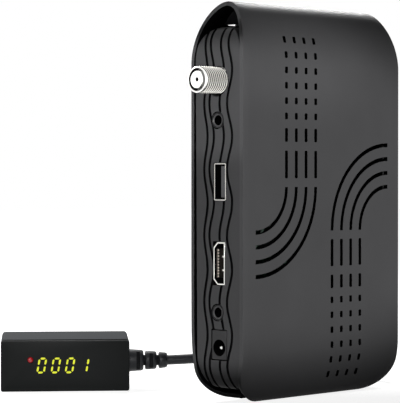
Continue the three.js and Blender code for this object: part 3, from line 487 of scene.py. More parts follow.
def tube(name, points, radius, smoothness, kind="POLY"):
    curve = bpy.data.curves.new(name, "CURVE")
    curve.dimensions = "3D"
    curve.bevel_depth = radius * mm
    curve.bevel_resolution = smoothness
    curve.use_fill_caps = True
    spline = curve.splines.new(kind)
    knots = spline.points if kind == "POLY" else spline.bezier_points
    knots.add(len(points) - 1)
    for knot, point in zip(knots, points):
        if kind == "POLY":
            knot.co = [a * mm for a in point] + [1]
        else:
            knot.co = [a * mm for a in point]
            knot.handle_left_type = knot.handle_right_type = "AUTO"
    piece = bpy.data.objects.new(name, curve)
    bpy.context.scene.collection.objects.link(piece)
    return piece


displayLead = tube("displayLead", leadLine(), lead["diameter"] / 2, 4, "BEZIER")
displayLead.data.resolution_u = 5
displayLead.data.materials.append(looks["rubber"])
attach(displayLead, "display_lead")
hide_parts("cord_to_coil", "cord_coil", "cord_to_plug")
print("scene: camera and cord made")

# receiver covers
shell = {
    "half": 42.4, "front": -12.9, "back": 12.9, "height": 142.3, "wall": 1.65, "archRise": 22,
    "curlReach": 8, "curlRise": 18, "curlPower": 1.7, "tuckReach": 10.3, "tuckRise": 30, "tuckPower": 2.6,
    "backLift": 1.5, "seamBottom": 8.5, "seam": 0.17, "topCornerReach": 5.3, "topCornerRise": 22,
    "topCornerPower": 1.8, "lowCornerReach": 16, "lowCornerRise": 12,
    "edge": 0.28, "columns": 20, "ribPlace": 12, "ribWall": 1.5, "ribFrom": 134.8,
}
half, front, back, lift, seam = sizes(shell, "half front back backLift seam")
curlReach, curlRise, tuckReach, tuckRise = sizes(shell, "curlReach curlRise tuckReach tuckRise")
archCentre = shell["height"] - shell["archRise"]


def halfWidth(z):
    # the receiver's outline seen from its vented side
    if z > archCentre:
        share = (z - archCentre) / shell["topCornerRise"]
        return half - shell["topCornerReach"] * min(share, 1) ** shell["topCornerPower"]
    if z < shell["lowCornerRise"]:
        share = (shell["lowCornerRise"] - max(z, 0)) / shell["lowCornerRise"]
        return half - shell["lowCornerReach"] * (1 - math.sqrt(max(1 - share ** 2, 0)))
    return half


def spread(start, end, steps):
    return [start + (end - start) * i / steps for i in range(1, steps)]


def frontRows():
    line = [(front + shell["seamBottom"] - seam, 0)]
    line += arc((front + curlReach, curlRise), (curlReach, curlRise), shell["curlPower"], 270, 180, 36)
    line += [(front, z) for z in spread(curlRise, archCentre, 20)]
    line += arc((0, archCentre), (back, shell["archRise"]), 2, 180, 90, 36)
    line[-1] = (-seam, line[-1][1])
    return [(y, z, -halfWidth(z), halfWidth(z)) for y, z in line]


def backRows():
    line = arc((0, archCentre), (back, shell["archRise"]), 2, 90, 0, 36)
    line[0] = (seam, line[0][1])
    line += [(back, z) for z in spread(archCentre, lift + tuckRise, 16)]
    line += arc((back - tuckReach, lift + tuckRise), (tuckReach, tuckRise), shell["tuckPower"], 360, 270, 36)
    line.append((front + shell["seamBottom"] + seam, lift))
    return [(y, z, -halfWidth(z), halfWidth(z)) for y, z in line]


def coverSheet(name, rows):
    sheet = outward(ruled(name, rows, shell["columns"]))
    # the sheet's faces look out of the shell, so the wall grows inward
    middle = Vector((0, 0, 0.07))
    if sum(((face.center - middle).dot(face.normal) for face in sheet.data.polygons), 0.0) < 0:
        edit(sheet)
        everything()
        bpy.ops.mesh.flip_normals()
        done()
    coat(sheet, "shell")
    # the inner faces are painted shade
    sheet.data.materials.append(looks["shadow"])
    modify(sheet, "SOLIDIFY", thickness=shell["wall"] * mm, offset=-1, use_even_offset=True,
           material_offset=1)
    return modify(sheet, "BEVEL", width=shell["edge"] * mm, segments=3, limit_method="ANGLE",
                  angle_limit=math.radians(50), miter_outer="MITER_ARC")


def rib(side, facing):
    # a plate across the hollow under the arch, painted shade; facing is -1 in the front cover and 1 in the
    # back cover
    reach = (back - shell["wall"] / 2, shell["archRise"] - shell["wall"] / 2)
    low = math.degrees(math.asin((shell["ribFrom"] - archCentre) / reach[1]))
    line = arc((0, archCentre), reach, 2, 90, low if facing > 0 else 180 - low, 16)
    line[0] = (facing * seam, line[0][1])
    line.append((facing * seam, shell["ribFrom"]))
    near = side * (half - shell["ribPlace"])
    return coat(outlineSolid("rib", line, near, near - side * shell["ribWall"], "X"), "shadow")


vents = {
    "width": 1.5, "pitch": 5.2, "columns": 4, "rows": 6, "short": 2.4, "rowPitch": 5.46, "topRow": 129.1,
    "first": 22.3, "middle": 68.5, "medium": (95.065, 4.9), "long": (84.555, 9.9),
    "arcStart": 76.495, "arcFirst": 15.9, "corner": 0.42, "depth": (-16, -9.6),
}


def slotCutter(x, z, tall):
    cutter = box("slotCutter", around(x, vents["width"] / 2), vents["depth"], around(z, tall / 2))
    roundEdges(cutter, runsBack, vents["corner"], 3)
    return cutter


def arcCutter(x):
    radius = vents["arcFirst"] + (x + half - vents["first"])
    centre = (x - radius, vents["arcStart"])
    outer, inner = radius + vents["width"] / 2, radius - vents["width"] / 2
    outline = arc(centre, (outer, outer), 2, 270, 360, 24) + arc(centre, (inner, inner), 2, 360, 270, 24)
    return outlineSolid("arcCutter", outline, *vents["depth"], "Y")


def ventCutters():
    group = []
    for column in range(vents["columns"]):
        x = -half + vents["first"] + column * vents["pitch"]
        for row in range(vents["rows"]):
            group.append(slotCutter(x, vents["topRow"] - row * vents["rowPitch"], vents["short"]))
        group += [slotCutter(x, *vents["medium"]), slotCutter(x, *vents["long"]), arcCutter(x)]
    left = coat(weld(*group), "shadow")
    left.name = "ventCutter"
    # the right group is the left one turned half way round the middle of the face
    choose(left)
    bpy.ops.object.duplicate()
    right = bpy.context.object
    lifted = Matrix.Translation((0, 0, vents["middle"] * mm))
    right.matrix_world = lifted @ Matrix.Rotation(math.pi, 4, "Y") @ lifted.inverted()
    settle(right)
    return left, right


def frontCover():
    cover = coverSheet("frontCover", frontRows())
    for cutter in ventCutters():
        combine(cover, cutter)
    smooth(cover, 40)
    weld(cover, rib(-1, -1), rib(1, -1))
    return dress(cover, "shell", "front_cover")


rear = {
    "slots": 7, "pitch": 8.65, "wide": 5.5, "tall": 0.8, "height": 135.05, "slotDepth": (3, 14),
    "slotRound": 0.3, "screws": (125.2, 12.6), "sink": 2.6, "sinkDepth": (9, 16),
    "stand": (34, 5), "standInside": 0.4, "standRound": 0.35,
}


def backCover():
    cover = coverSheet("backCover", backRows())
    edges = around(rear["height"], rear["tall"] / 2)
    cutters = []
    for i in range(rear["slots"]):
        x = (i - (rear["slots"] - 1) / 2) * rear["pitch"]
        cutters.append(box("rearSlot", around(x, rear["wide"] / 2), rear["slotDepth"], edges,
                           rear["slotRound"]))
    for z in rear["screws"]:
        cutters.append(rod("sinkCutter", rear["sink"], *rear["sinkDepth"], "Y", (0, z), 40))
    smooth(combine(cover, coat(weld(*cutters), "shell")), 40)
    wide, deep = [size / 2 for size in rear["stand"]]
    stand = box("stand", (-wide, wide), (-deep, deep), (0, lift + rear["standInside"]), rear["standRound"], 3)
    weld(cover, coat(stand, "shell"), rib(-1, 1), rib(1, 1))
    return dress(cover, "shell", "back_cover")


frontCover()
backCover()
print("scene: covers made")

# side panels
panel = {
    "face": -41.9, "wall": 1.8, "top": 133.1, "bottom": 5.2, "curl": 4.5, "curlRise": 11, "flange": 11.2,
    "inset": 1.95, "power": 2.5, "edge": 0.3,
    "grooveMiddles": (5.82, 2.96, -2.01, -5.89), "grooveWaves": (0.84, 1.13, 1.06, 1.25),
    "grooveLength": 23.4, "grooveFrom": 59.3, "grooveRadius": 0.6, "grooveStep": 1.3, "halfDeep": 14,
    "bodyReach": (-50, -21.9),
}


def panelOutline():
    # the panel seen from the vented side: a plate whose ends curl inward
    face, curl, rise, wall, top, bottom = sizes(panel, "face curl curlRise wall top bottom")
    end = -half + panel["flange"]
    high, low = (face + curl, top - rise), (face + curl, bottom + rise)
    reach, inner = (curl, rise), (curl - wall, rise - wall)
    return ([(end, top)] + arc(high, reach, 2, 90, 180, 20) + arc(low, reach, 2, 180, 270, 20)
            + [(end, bottom), (end, bottom + wall)] + arc(low, inner, 2, 270, 180, 20)
            + arc(high, inner, 2, 180, 90, 20) + [(end, top - wall)])


def innerOutline():
    # the inner body between the two hollows, seen from the port side
    inset, low = panel["inset"], curlRise - panel["bottom"]
    tuck = tuckReach - inset - lift / 2
    return (arc((0, archCentre), (back - inset, panel["top"] - archCentre), panel["power"], 0, 180, 40)
            + arc((front + curlReach, curlRise), (curlReach - inset, low), 2, 180, 270, 14)
            + arc((back - tuckReach, curlRise), (tuck, low), 2, 270, 360, 14))


def panelSurface(z):
    # how far out the panel's skin is at a height
    above = max(z - (panel["top"] - panel["curlRise"]), (panel["bottom"] + panel["curlRise"]) - z, 0)
    share = min(above / panel["curlRise"], 1)
    return panel["face"] + panel["curl"] * (1 - math.sqrt(1 - share ** 2))


def grooveCutter(middle, wave):
    steps = int((panel["top"] - panel["bottom"] - 0.15) / panel["grooveStep"]) + 1
    points = []
    for i in range(steps):
        z = panel["bottom"] + 0.05 + panel["grooveStep"] * i
        y = middle + wave * math.cos(math.tau * (z - panel["grooveFrom"]) / panel["grooveLength"])
        points.append((panelSurface(z), y, z))
    choose(tube("grooveCutter", points, panel["grooveRadius"], 2))
    bpy.ops.object.convert(target="MESH")
    return coat(bpy.context.object, "shadow")


def panelBlank(name):
    blank = coat(outlineSolid(name, panelOutline(), -panel["halfDeep"], panel["halfDeep"], "Y"), "panel")
    body = coat(outlineSolid("innerOutline", innerOutline(), *panel["bodyReach"], "X"), "panel")
    combine(blank, body, "INTERSECT")
    modify(blank, "BEVEL", width=panel["edge"] * mm, segments=2, limit_method="ANGLE",
           angle_limit=math.radians(50))
    for middle, wave in zip(panel["grooveMiddles"], panel["grooveWaves"]):
        combine(blank, grooveCutter(middle, wave))
    return blank


ports = {
    # place in Y, height, then the hole's radius or the socket's width and length
    "antenna": (-0.26, 114.1, 5.06), "serial": (0.1, 100.1, 3.12), "audio": (0.1, 32.2, 3.12),
    "display": (0.1, 36, 3.12), "usb": (-1.15, 78.4, 5.8, 13.2), "video": (-0.7, 49.6, 5.6, 15.1),
    "power": (-0.8, 20.8, 7.1, 10.3), "gap": 0.2, "powerGap": 0.36, "holeReach": (-46, -36),
}


def portPanel():
    plate = panelBlank("portPanel")
    cutters = []
    for key in ("antenna", "serial", "audio"):
        y, z, radius = ports[key]
        cutters.append(rod("portCutter", radius, *ports["holeReach"], "X", (y, z), 56))
    for key in ("usb", "video", "power"):
        y, z, wide, tall = ports[key]
        gap = ports["powerGap"] if key == "power" else ports["gap"]
        across, up = wide / 2 + gap, tall / 2 + gap
        cutters.append(box("portCutter", ports["holeReach"], around(y, across), around(z, up)))
    combine(plate, coat(weld(*cutters), "shadow"))
    return dress(smooth(plate, 35), "panel", "port_panel")


def farPanel():
    plate = panelBlank("farPanel")
    mirrored(plate)
    y, z, radius = ports["display"]
    outer, inner = ports["holeReach"]
    combine(plate, coat(rod("portCutter", radius, -inner, -outer, "X", (y, z), 56), "shadow"))
    return dress(smooth(plate, 35), "panel", "far_panel")


portPanel()
farPanel()
print("scene: side panels made")

# ports
antenna = {
    "tip": -52.5, "pitch": 0.98, "turns": 11, "steps": 40, "proud": 0.15, "contactSet": 2.6,
    "ridgeFrom": 1.1, "ridge": ((4.3, 0), (4.64, 0.29), (4.68, 0.35), (4.64, 0.45), (4.3, 0.58)),
    # radius and place behind the tip, the contact's behind its own end
    "barrel": ((3.15, 3), (4.05, 3), (4.05, 0.07), (4.11, 0.02), (4.25, 0), (4.38, 0), (4.6, 0.14),
               (4.68, 0.4), (4.68, 0.8), (4.4, 1.15), (4.4, 12.7), (5.15, 12.7), (5.15, 21.2), (3.15, 21.2)),
    "valley": ((4.2, 1.15), (4.42, 1.2), (4.42, 12.4), (4.2, 12.45)),
    "bore": ((4.02, 0.09), (4.08, 0.09), (4.08, 2.9), (4.02, 2.9)),
    "insulator": ((0.72, 21.35), (0.72, 0.25), (0.86, 0.05), (0.97, 0), (2.88, 0), (2.99, 0.05), (3.02, 0.16),
                  (3.02, 2.6), (2.3, 2.8), (2.3, 21.35)),
    "hole": ((0.66, 0.35), (0.74, 0.35), (0.74, 6), (0.66, 6)),
    "contact": ((0, 0), (0.26, 0), (0.36, 0.15), (0.36, 18.75), (0, 18.75)),
}


def threadRidge():
    # the ridge's small closed section is carried round the barrel by the screw, then capped
    section = shifted(antenna["ridge"] + antenna["ridge"][:1], antenna["tip"] + antenna["ridgeFrom"])
    piece = drawLine("threadRidge", [Vector((along, 0, radius)) * mm for radius, along in section])
    bpy.ops.mesh.remove_doubles(threshold=0.00001)
    done()
    pitch, turns, steps = sizes(antenna, "pitch turns steps")
    modify(piece, "SCREW", axis="X", angle=math.tau, screw_offset=pitch * mm, iterations=turns, steps=steps,
           render_steps=steps, use_merge_vertices=False)
    edit(piece)
    everything()
    bpy.ops.mesh.fill_holes(sides=8)
    done()
    outward(piece)
    # the flanks that look out of the panel are bright nickel, the others are painted shade in a dark nickel
    recoat(coat(piece, "groove"), "flank", lambda item, middle: item.normal.x < -0.3)
    piece.location = (0, ports["antenna"][0] * mm, ports["antenna"][1] * mm)
    return smooth(settle(piece), 20)


def antennaPart(name, part, look, tip, sides):
    return coat(turned(name, shifted(antenna[part], tip), ports["antenna"][:2], sides), look)


def antennaSocket():
    tip = antenna["tip"]
    barrel = weld(antennaPart("antennaSocket", "barrel", "thread", tip, 64),
                  # the thread's valley is painted shade
                  antennaPart("threadGroove", "valley", "groove", tip, 64),
                  # the bore is lined with painted shade
                  antennaPart("boreShade", "bore", "shadow", tip, 64), threadRidge())
    dress(barrel, "nickel", "antenna_socket")
    tip -= antenna["proud"]
    insulator = weld(antennaPart("antennaInsulator", "insulator", "plastic_white", tip, 48),
                     # the insulator's hole is lined with painted shade
                     antennaPart("holeShade", "hole", "shadow", tip, 32))
    dress(insulator, "plastic_white", "antenna_insulator")
    contact = antennaPart("antennaContact", "contact", "gold", tip + antenna["contactSet"], 20)
    dress(contact, "gold", "antenna_contact")


jack = {
    # radius and place behind the panel's face
    "barrel": ((2.5, 14.1), (2.5, 0.35), (2.6, 0.1), (2.7, 0.02), (2.82, 0.14), (2.82, 2.5), (3.7, 2.5),
               (3.7, 14.1)),
    "lip": ((1.85, 13.6), (1.85, 0.35), (2.01, 0.16), (2.18, 0.1), (2.3, 0.22), (2.3, 13.6)),
    "bottom": ((1.82, 0.5), (1.9, 0.5), (1.9, 7.1), (0, 7.1), (0, 6.9), (1.82, 6.9)),
}


def roundJack(name, key, side, *nodes):
    # a black barrel whose mouth has a thin pale lip; side is -1 on the port panel and 1 on the far one
    shapes = []
    # behind the lip the jack's hole is lined with painted shade
    for part, suffix, look, sides in (("barrel", "", "plastic_black", 56), ("lip", "Lip", "lip", 56),
                                      ("bottom", "Bottom", "shadow", 40)):
        shape = turned(name + suffix, shifted(jack[part], panel["face"]), ports[key][:2], sides)
        if side > 0:
            smooth(mirrored(shape))
        shapes.append(coat(shape, look))
    dress(shapes[0], "plastic_black", nodes[0])
    dress(weld(*shapes[1:]), "plastic_black", nodes[1])


folded = {"floor": 0.4, "edge": 0.13}


def hollowSocket(name, outline, inner, depth, node, look="nickel"):
    # a folded metal shell, open in front, its inside painted shade
    face = panel["face"]
    shellShape = coat(outlineSolid(name, outline, face, face + depth, "X"), look)
    hollow = outlineSolid("hollow", inner, face - 1, face + depth - folded["floor"], "X")
    combine(shellShape, coat(hollow, "shadow"))
    soften(outward(shellShape), folded["edge"], 2, 40)
    return dress(shellShape, "nickel", node)


def slats(name, reach, across, middles, half, edge, look, slot, *nodes):
    # small blocks in a column, joined to one piece; reach is how deep behind the panel's face they lie
    deep = [panel["face"] + depth for depth in reach]
    piece = weld(*[box(name, deep, across, around(middle, half), edge) for middle in middles])
    return dress(coat(piece, look), slot, *nodes)


usb = {
    "wall": 0.42, "corner": 0.55, "depth": 13.5,
    "tongue": 2.0, "tongueGap": 0.42, "tongueReach": (0.5, 12.5), "tongueShort": 1.1,
    "contactReach": (4, 10), "contactPitch": 2.4, "contactHalf": 0.5, "contactThick": 0.18,
    "springReach": (3.2, 5), "springPlaces": (-1.3, 1.3), "springHalf": 0.45, "springThick": 0.25,
}


def usbSocket():
    y, z, across, tall = ports["usb"]
    half, high, wall = across / 2, tall / 2, usb["wall"]

    def rounded(inset):
        radius = max(usb["corner"] - inset, 0.2)
        a, b = half - inset - radius, high - inset - radius
        points = []
        for turn, (u, v) in enumerate(((a, b), (-a, b), (-a, -b), (a, -b))):
            points += arc((y + u, z + v), (radius, radius), 2, 90 * turn, 90 * turn + 90, 5)
        return points
    hollowSocket("usbShell", rounded(0), rounded(wall), usb["depth"], "usb_shell", "rimSteel")
    # the tongue lies towards the vented side, its contacts looking back
    low = y - half + wall + usb["tongueGap"]
    back, reach = low + usb["tongue"], high - usb["tongueShort"]
    slats("usbTongue", usb["tongueReach"], (low, back), [z], reach, 0.12,
          "tongue", "plastic_black", "usb_tongue")
    middles = [z + (i - 1.5) * usb["contactPitch"] for i in range(4)]
    slats("usbContacts", usb["contactReach"], (back, back + usb["contactThick"]), middles, usb["contactHalf"],
          0.06, "gold", "gold", "usb_contacts")
    # spring tabs deep on the far wall catch a little light
    edge = y + half - wall
    slats("usbSprings", usb["springReach"], (edge - usb["springThick"], edge),
          [z + place for place in usb["springPlaces"]], usb["springHalf"], 0.1, "nickel", "nickel")


video = {
    "wall": 0.5, "chamfer": 1.9, "depth": 13.5,
    "tongue": 1.0, "tongueGap": 0.35, "tongueReach": (0.75, 12.5), "tongueShort": 0.5,
    "contacts": 10, "contactReach": (0.6, 1.15), "contactProud": 0.22, "contactInside": 0.3,
    "contactShare": 0.26,
    "springReach": (1.5, 2.3), "springAcross": (-1.55, 0.25), "springPlaces": (-2.4, 2.4), "springHalf": 0.36,
}


def videoSocket():
    y, z, across, tall = ports["video"]

    def shaped(inset):
        # the wide side looks to the vented face, the chamfers to the back
        low, high = y - across / 2 + inset, y + across / 2 - inset
        top, cut = tall / 2 - inset, video["chamfer"] - inset * 0.4
        return [(low, z - top), (high - cut, z - top), (high, z - top + cut), (high, z + top - cut),
                (high - cut, z + top), (low, z + top)]
    hollowSocket("videoShell", shaped(0), shaped(video["wall"]), video["depth"], "video_shell")
    high = y + across / 2 - video["wall"] - video["tongueGap"]
    low = high - video["tongue"]
    reach = tall / 2 - video["chamfer"] - video["tongueShort"]
    slats("videoTongue", video["tongueReach"], (low, high), [z], reach, 0.1,
          "tongueBrown", "plastic_black", "video_tongue")
    pitch = 2 * reach / video["contacts"]
    middles = [z - reach + pitch * (i + 0.5) for i in range(video["contacts"])]
    slats("videoContacts", video["contactReach"], (low - video["contactProud"], low + video["contactInside"]),
          middles, pitch * video["contactShare"], 0.06, "cream", "gold", "video_contacts")
    slats("videoSprings", video["springReach"], [y + a for a in video["springAcross"]],
          [z + place for place in video["springPlaces"]], video["springHalf"], 0.1, "nickel", "nickel")


power = {"bore": 2.95, "drop": 1.0, "pin": 0.66, "pinEnd": 11, "depth": 13, "floor": 1.8, "edge": 0.2}


def powerSocket():
    y, z, across, tall = ports["power"]
    face, depth, pin = panel["face"], power["depth"], power["pin"]
    middle = (y, z - power["drop"])
    block = box("powerJack", (face, face + depth), around(y, across / 2), around(z, tall / 2), power["edge"])
    coat(block, "powerGrey")
    bore = rod("boreCutter", power["bore"], face - 1, face + depth - power["floor"], "X", middle, 56)
    dress(smooth(combine(block, coat(bore, "shadow"))), "plastic_black", "power_jack")
    end = face + power["pinEnd"]
    shape = turned("powerPin", [(0, face + 0.75), (pin * 0.55, face + 0.8), (pin * 0.9, face + 1.0),
                                (pin, face + 1.35), (pin, end), (0, end)], middle, 28)
    dress(shape, "nickel", "power_pin")


antennaSocket()
roundJack("serialJack", "serial", -1, "serial_jack", "serial_collar")
roundJack("audioJack", "audio", -1, "audio_jack", "audio_collar")
roundJack("displayJack", "display", 1, "display_jack", "display_collar")
usbSocket()
videoSocket()
powerSocket()
print("scene: ports made")

# display module, built in its own place and then turned onto the table
module = {
    "x": -54.8, "y": 67.24, "turn": -40.3, "wide": 48, "tall": 19.25, "deep": 26, "rise": 1.2, "wall": 1.5,
    "front": 1.6, "gap": 0.3, "corner": 1.0, "edge": 1.2, "exit": (10, 10.5), "exitRadius": 1.9,
    "plateEdge": 0.22, "plateCorner": 0.8, "plateTall": 18.98, "lamp": (-13, 11.76, 1.05), "lampGap": 0.08,
    "pitch": 5.27, "digitWide": 2.45, "digitTall": 5.2, "line": 0.7, "first": -8.75, "middle": 9.7,
    "slant": 10, "tip": 0.4, "grow": 0.03, "bars": (0.04, 2.1),
    "guide": ((-11.2, 9.4), (1.9, 2.4), (4.1, 15.3)),
    # each digit's lit bars, from the top clockwise
    "lit": ((0, 1, 2, 3, 4, 5), (0, 1, 2, 3, 4, 5), (0, 1, 2, 3, 4, 5), (1, 2)),
    "dome": ((0, -0.5), (0.3, -0.46), (0.6, -0.32), (0.85, -0.06), (0.98, 0.2), (1.05, 0.5), (1.05, 6.2),
             (0, 6.2)),
}
modulePlace = (Matrix.Translation((module["x"] * mm, module["y"] * mm, 0))
               @ Matrix.Rotation(math.radians(module["turn"]), 4, "Z"))


def onTable(piece, slot, *nodes):
    choose(piece)
    piece.matrix_world = modulePlace @ piece.matrix_world
    settle(piece)
    return dress(piece, slot, *nodes, body="display_lead")


def moduleHousing():
    half, tall, deep, wall = module["wide"] / 2, module["tall"], module["deep"], module["wall"]
    start = module["front"] + module["gap"]
    housing = box("displayHousing", (-half, half), (start, deep), (0, tall))
    edit(housing)
    pick(housing, "EDGE", lambda item, middle: middle.z > 0.9 * tall * mm and middle.y > 0.9 * deep * mm)
    bpy.ops.transform.translate(value=(0, 0, module["rise"] * mm))
    done()
    roundEdges(housing, runsBack, module["edge"], 6)
    roundEdges(housing, lambda item, middle: middle.y > 0.96 * deep * mm, module["corner"], 5)
    combine(housing, box("hollow", (wall - half, half - wall), (-2, deep - wall), (wall, tall - wall)))
    combine(housing, rod("exitCutter", module["exitRadius"], half - 3, half + 1, "X", module["exit"], 32))
    # the rim behind the plate is painted shade, so the joint reads dark
    recoat(coat(outward(housing), "display_plastic"), "shadow",
           lambda item, middle: item.normal.y < -0.9 and middle.y < (start + 0.1) * mm)
    return onTable(smooth(housing, 35), "display_plastic", "display_housing")


def barOutline(u, v, length, standing):
    # a bar with pointed ends, lying or standing
    tip = length / 2 - module["line"] * module["tip"]
    side = module["line"] / 2
    shoulder = tip - side
    points = [(-tip, 0), (-shoulder, -side), (shoulder, -side), (tip, 0), (shoulder, side), (-shoulder, side)]
    return [(u - b, v + a) if standing else (u + a, v + b) for a, b in points]


def digitBars(digit, bars, grow, low, high):
    w, h = module["digitWide"], module["digitTall"] / 2
    places = [(0, h, w, False), (w / 2, h / 2, h, True), (w / 2, -h / 2, h, True), (0, -h, w, False),
              (-w / 2, -h / 2, h, True), (-w / 2, h / 2, h, True)]
    made = []
    for index in bars:
        outline = barOutline(*places[index])
        middle = [sum(p[i] for p in outline) / len(outline) for i in (0, 1)]
        placed = []
        for point in outline:
            reach = 1 + grow / math.dist(point, middle)
            x, z = [a + (b - a) * reach for a, b in zip(middle, point)]
            lean = math.tan(math.radians(module["slant"])) * z
            placed.append((x + lean + module["first"] + digit * module["pitch"], z + module["middle"]))
        made.append(outlineSolid("bar", placed, low, high, "Y"))
    return made


def moduleFront():
    half = module["wide"] / 2
    plate = box("displayFront", (-half, half), (0, module["front"]), (0, module["plateTall"]))
    roundEdges(plate, runsBack, module["plateCorner"], 5)
    coat(soften(plate, module["plateEdge"], 3, 50), "window")

    def allBars(*size):
        return [bar for digit, bars in enumerate(module["lit"]) for bar in digitBars(digit, bars, *size)]
    x, z, radius = module["lamp"]
    cutters = allBars(module["grow"], -1, 3)
    cutters.append(rod("lampCutter", radius + module["lampGap"], -1, 3, "Y", (x, z), 40))
    combine(plate, coat(weld(*cutters), "shadow"))
    onTable(smooth(plate, 35), "window", "display_front")
    sheet = box("litGuide", *module["guide"], 0.1)
    guide = weld(sheet, *allBars(0, *module["bars"]))
    onTable(smooth(guide, 35), "lit", "lit_guide")
    dome = turned("displayLamp", module["dome"], (x, z), 40, axis="Y", angle=60)
    onTable(dome, "lamp", "display_lamp")


relief = {
    "start": 24.3, "length": 14.4, "radius": 4.25, "neck": 2.0, "inner": 1.6, "collar": 1.85,
    # each block's ends as shares of the length, then its radii there as shares of the first radius
    "blocks": ((0, 0.37, 1, 0.92), (0.418, 0.717, 0.838, 0.795), (0.775, 1, 0.74, 0.67)),
    # each slot's ends and half its height
    "slots": ((2.6, 3.95, 3.5), (7.55, 8.95, 2.95)), "slotDepth": 6, "slotRound": 0.25, "skin": 0.3,
}


def strainRelief():
    # three tapering blocks on the neck, the first two opened by a slot in front and one behind
    start, length, radius = sizes(relief, "start length radius")
    neck, inner, collar = sizes(relief, "neck inner collar")
    y, z = module["exit"]
    profile = [(inner, start)]
    for low, high, wide, narrow in relief["blocks"]:
        a, b = start + length * low, start + length * high
        r0, r1 = radius * wide, radius * narrow
        if low:
            profile += [(neck, a - 0.02), (r0 - 0.35, a), (r0 - 0.08, a + 0.22)]
        profile += [(r0, a + 0.5 if low else a), (r1 + 0.03, b - 0.75), (r1 - 0.12, b - 0.3),
                    (r1 - 0.45, b - 0.02)]
        profile += [(neck, b)] if high < 1 else [(collar, b + 0.02), (collar, b + 0.28), (inner, b + 0.28)]
    body = coat(turned("strainRelief", profile, module["exit"], 56, angle=30), "rubber")
    near, far = neck + 0.1, relief["slotDepth"]
    cutters = []
    for low, high, reach in relief["slots"]:
        for across in ((y - far, y - near), (y + near, y + far)):
            cutters.append(box("slotCutter", (start + low, start + high), across, around(z, reach),
                               relief["slotRound"]))
    # the neck between the blocks and the slot walls are painted shade
    recoat(body, "paintedShadeRubber", lambda item, middle: middle.x < (start + length - 0.5) * mm
           and math.hypot(middle.y - y * mm, middle.z - z * mm) < (neck + relief["skin"]) * mm)
    combine(body, coat(weld(*cutters), "paintedShadeRubber"))
    return onTable(smooth(body, 30), "rubber", "strain_relief")


moduleHousing()
moduleFront()
strainRelief()
# pieces that are the CAD node with a finish and a rounded edge
for node, look, edge in (("digit_block", "plastic_black", 0.2), ("display_board", "board", 0.08),
                         ("infrared_receiver", "plastic_black", 0.5), ("display_pad", "foam", 0.15)):
    dressedCopy(node, look, edge, look, "display_lead")
print("scene: display module made")

# tie round the coil, and the right-angled plug
plug = {
    "x": (42.2, 50.6), "y": 0.1, "z": (25, 40.4), "wide": 7.6, "corner": 1.3, "height": 36,
    "ridges": 5, "ridgeFrom": 28.2, "ridgePitch": 2.1, "ridgeTall": 0.9, "ridgeX": (43.6, 49.2),
    "ridgeDepth": 0.35, "ridgeRound": 0.25,
    "nubFrom": 19.75, "shaftFrom": 27.9, "shaftTo": 41.9, "radius": 1.75, "rings": (5.0, 7.6),
    # radius and place along the piece
    "nub": ((1.6, 0), (2.0, 0), (2.15, 0.3), (2.3, 1.1), (2.0, 1.2), (2.0, 1.6), (2.4, 1.7), (2.6, 2.7),
            (2.1, 2.8), (2.1, 3.2), (2.7, 3.3), (2.9, 4.4), (3.0, 5.6), (1.6, 5.6), (1.6, 0)),
    "tip": ((0, 0), (0.9, 0.05), (1.25, 0.3), (1.7, 1.3), (1.6, 1.8), (1.25, 2.4), (1.25, 2.8), (1.65, 3.3),
            (1.75, 3.6)),
    "ring": ((1.75, 0), (1.62, 0.08), (1.62, 0.5), (1.75, 0.58)),
}


def plugGrip():
    y, half, deep, tall = plug["y"], plug["wide"] / 2, plug["ridgeDepth"], plug["ridgeTall"]
    grip = soften(box("plugGrip", plug["x"], around(y, half), plug["z"]), plug["corner"], 5)
    ridges = []
    for edge in around(y, half):
        for i in range(plug["ridges"]):
            z = plug["ridgeFrom"] + i * plug["ridgePitch"]
            ridges.append(box("ridgeCutter", plug["ridgeX"], around(edge, deep), (z, z + tall),
                              plug["ridgeRound"]))
    combine(coat(grip, "rubber"), coat(weld(*ridges), "rubber"))
    smooth(grip, 35)
    nub = turned("plugNub", shifted(plug["nub"], plug["nubFrom"]), (sum(plug["x"]) / 2, y), 40, axis="Z")
    weld(grip, coat(nub, "rubber"))
    return dress(grip, "rubber", "plug_grip", body="display_lead")


def plugShaft():
    tip, root = sizes(plug, "shaftFrom shaftTo")
    profile = shifted(plug["tip"], tip)
    for place in plug["rings"]:
        profile += shifted(plug["ring"], tip + place)
    profile += [(plug["radius"], root), (0, root)]
    shaft = turned("plugShaft", profile, sizes(plug, "y height"), 40)
    return dress(shaft, "nickel", "plug_shaft", body="display_lead")


dressedCopy("coil_tie", "tie", 0.12, "rubber", "display_lead")
plugGrip()
plugShaft()
print("scene: tie and plug made")

# inside the receiver
inside = {
    "circuit_board": ("board", 0.1), "tuner_can": ("can", 0.35), "main_chip": ("chip", 0.15),
    "heat_sink": ("aluminium", 0.12), "memory_chip_1": ("chip", 0.12), "memory_chip_2": ("chip", 0.12),
    "flash_chip": ("chip", 0.12), "crystal": ("nickel", 0.3), "inductor_1": ("chip", 0.4),
    "inductor_2": ("chip", 0.4), "inductor_3": ("chip", 0.4),
}
screws = {"shank": 1.15, "valley": 0.9, "pitch": 0.8, "head": 1.4, "cross": 0.62, "crossHalf": 0.28,
          "crossDepth": (-0.3, 0.7)}


def nodeSize(node):
    # a round node's middle in X and Z, its radius, and its low and high ends in Y
    low, high = [[a / mm for a in corner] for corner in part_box(node)]
    return (low[0] + high[0]) / 2, (low[2] + high[2]) / 2, (high[0] - low[0]) / 2, low[1], high[1]


def capacitor(node):
    x, z, radius, low, high = nodeSize(node)
    can = turned(pieceName(node), [
        (0, low + 0.15), (radius * 0.55, low + 0.15), (radius * 0.62, low), (radius - 0.5, low),
        (radius - 0.1, low + 0.15), (radius, low + 0.6), (radius, high - 2.2), (radius - 0.25, high - 1.9),
        (radius - 0.25, high - 1.5), (radius, high - 1.2), (radius, high), (0, high)], (-x, z), 40, axis="Y")
    return dress(smooth(mirrored(can)), "aluminium", node)


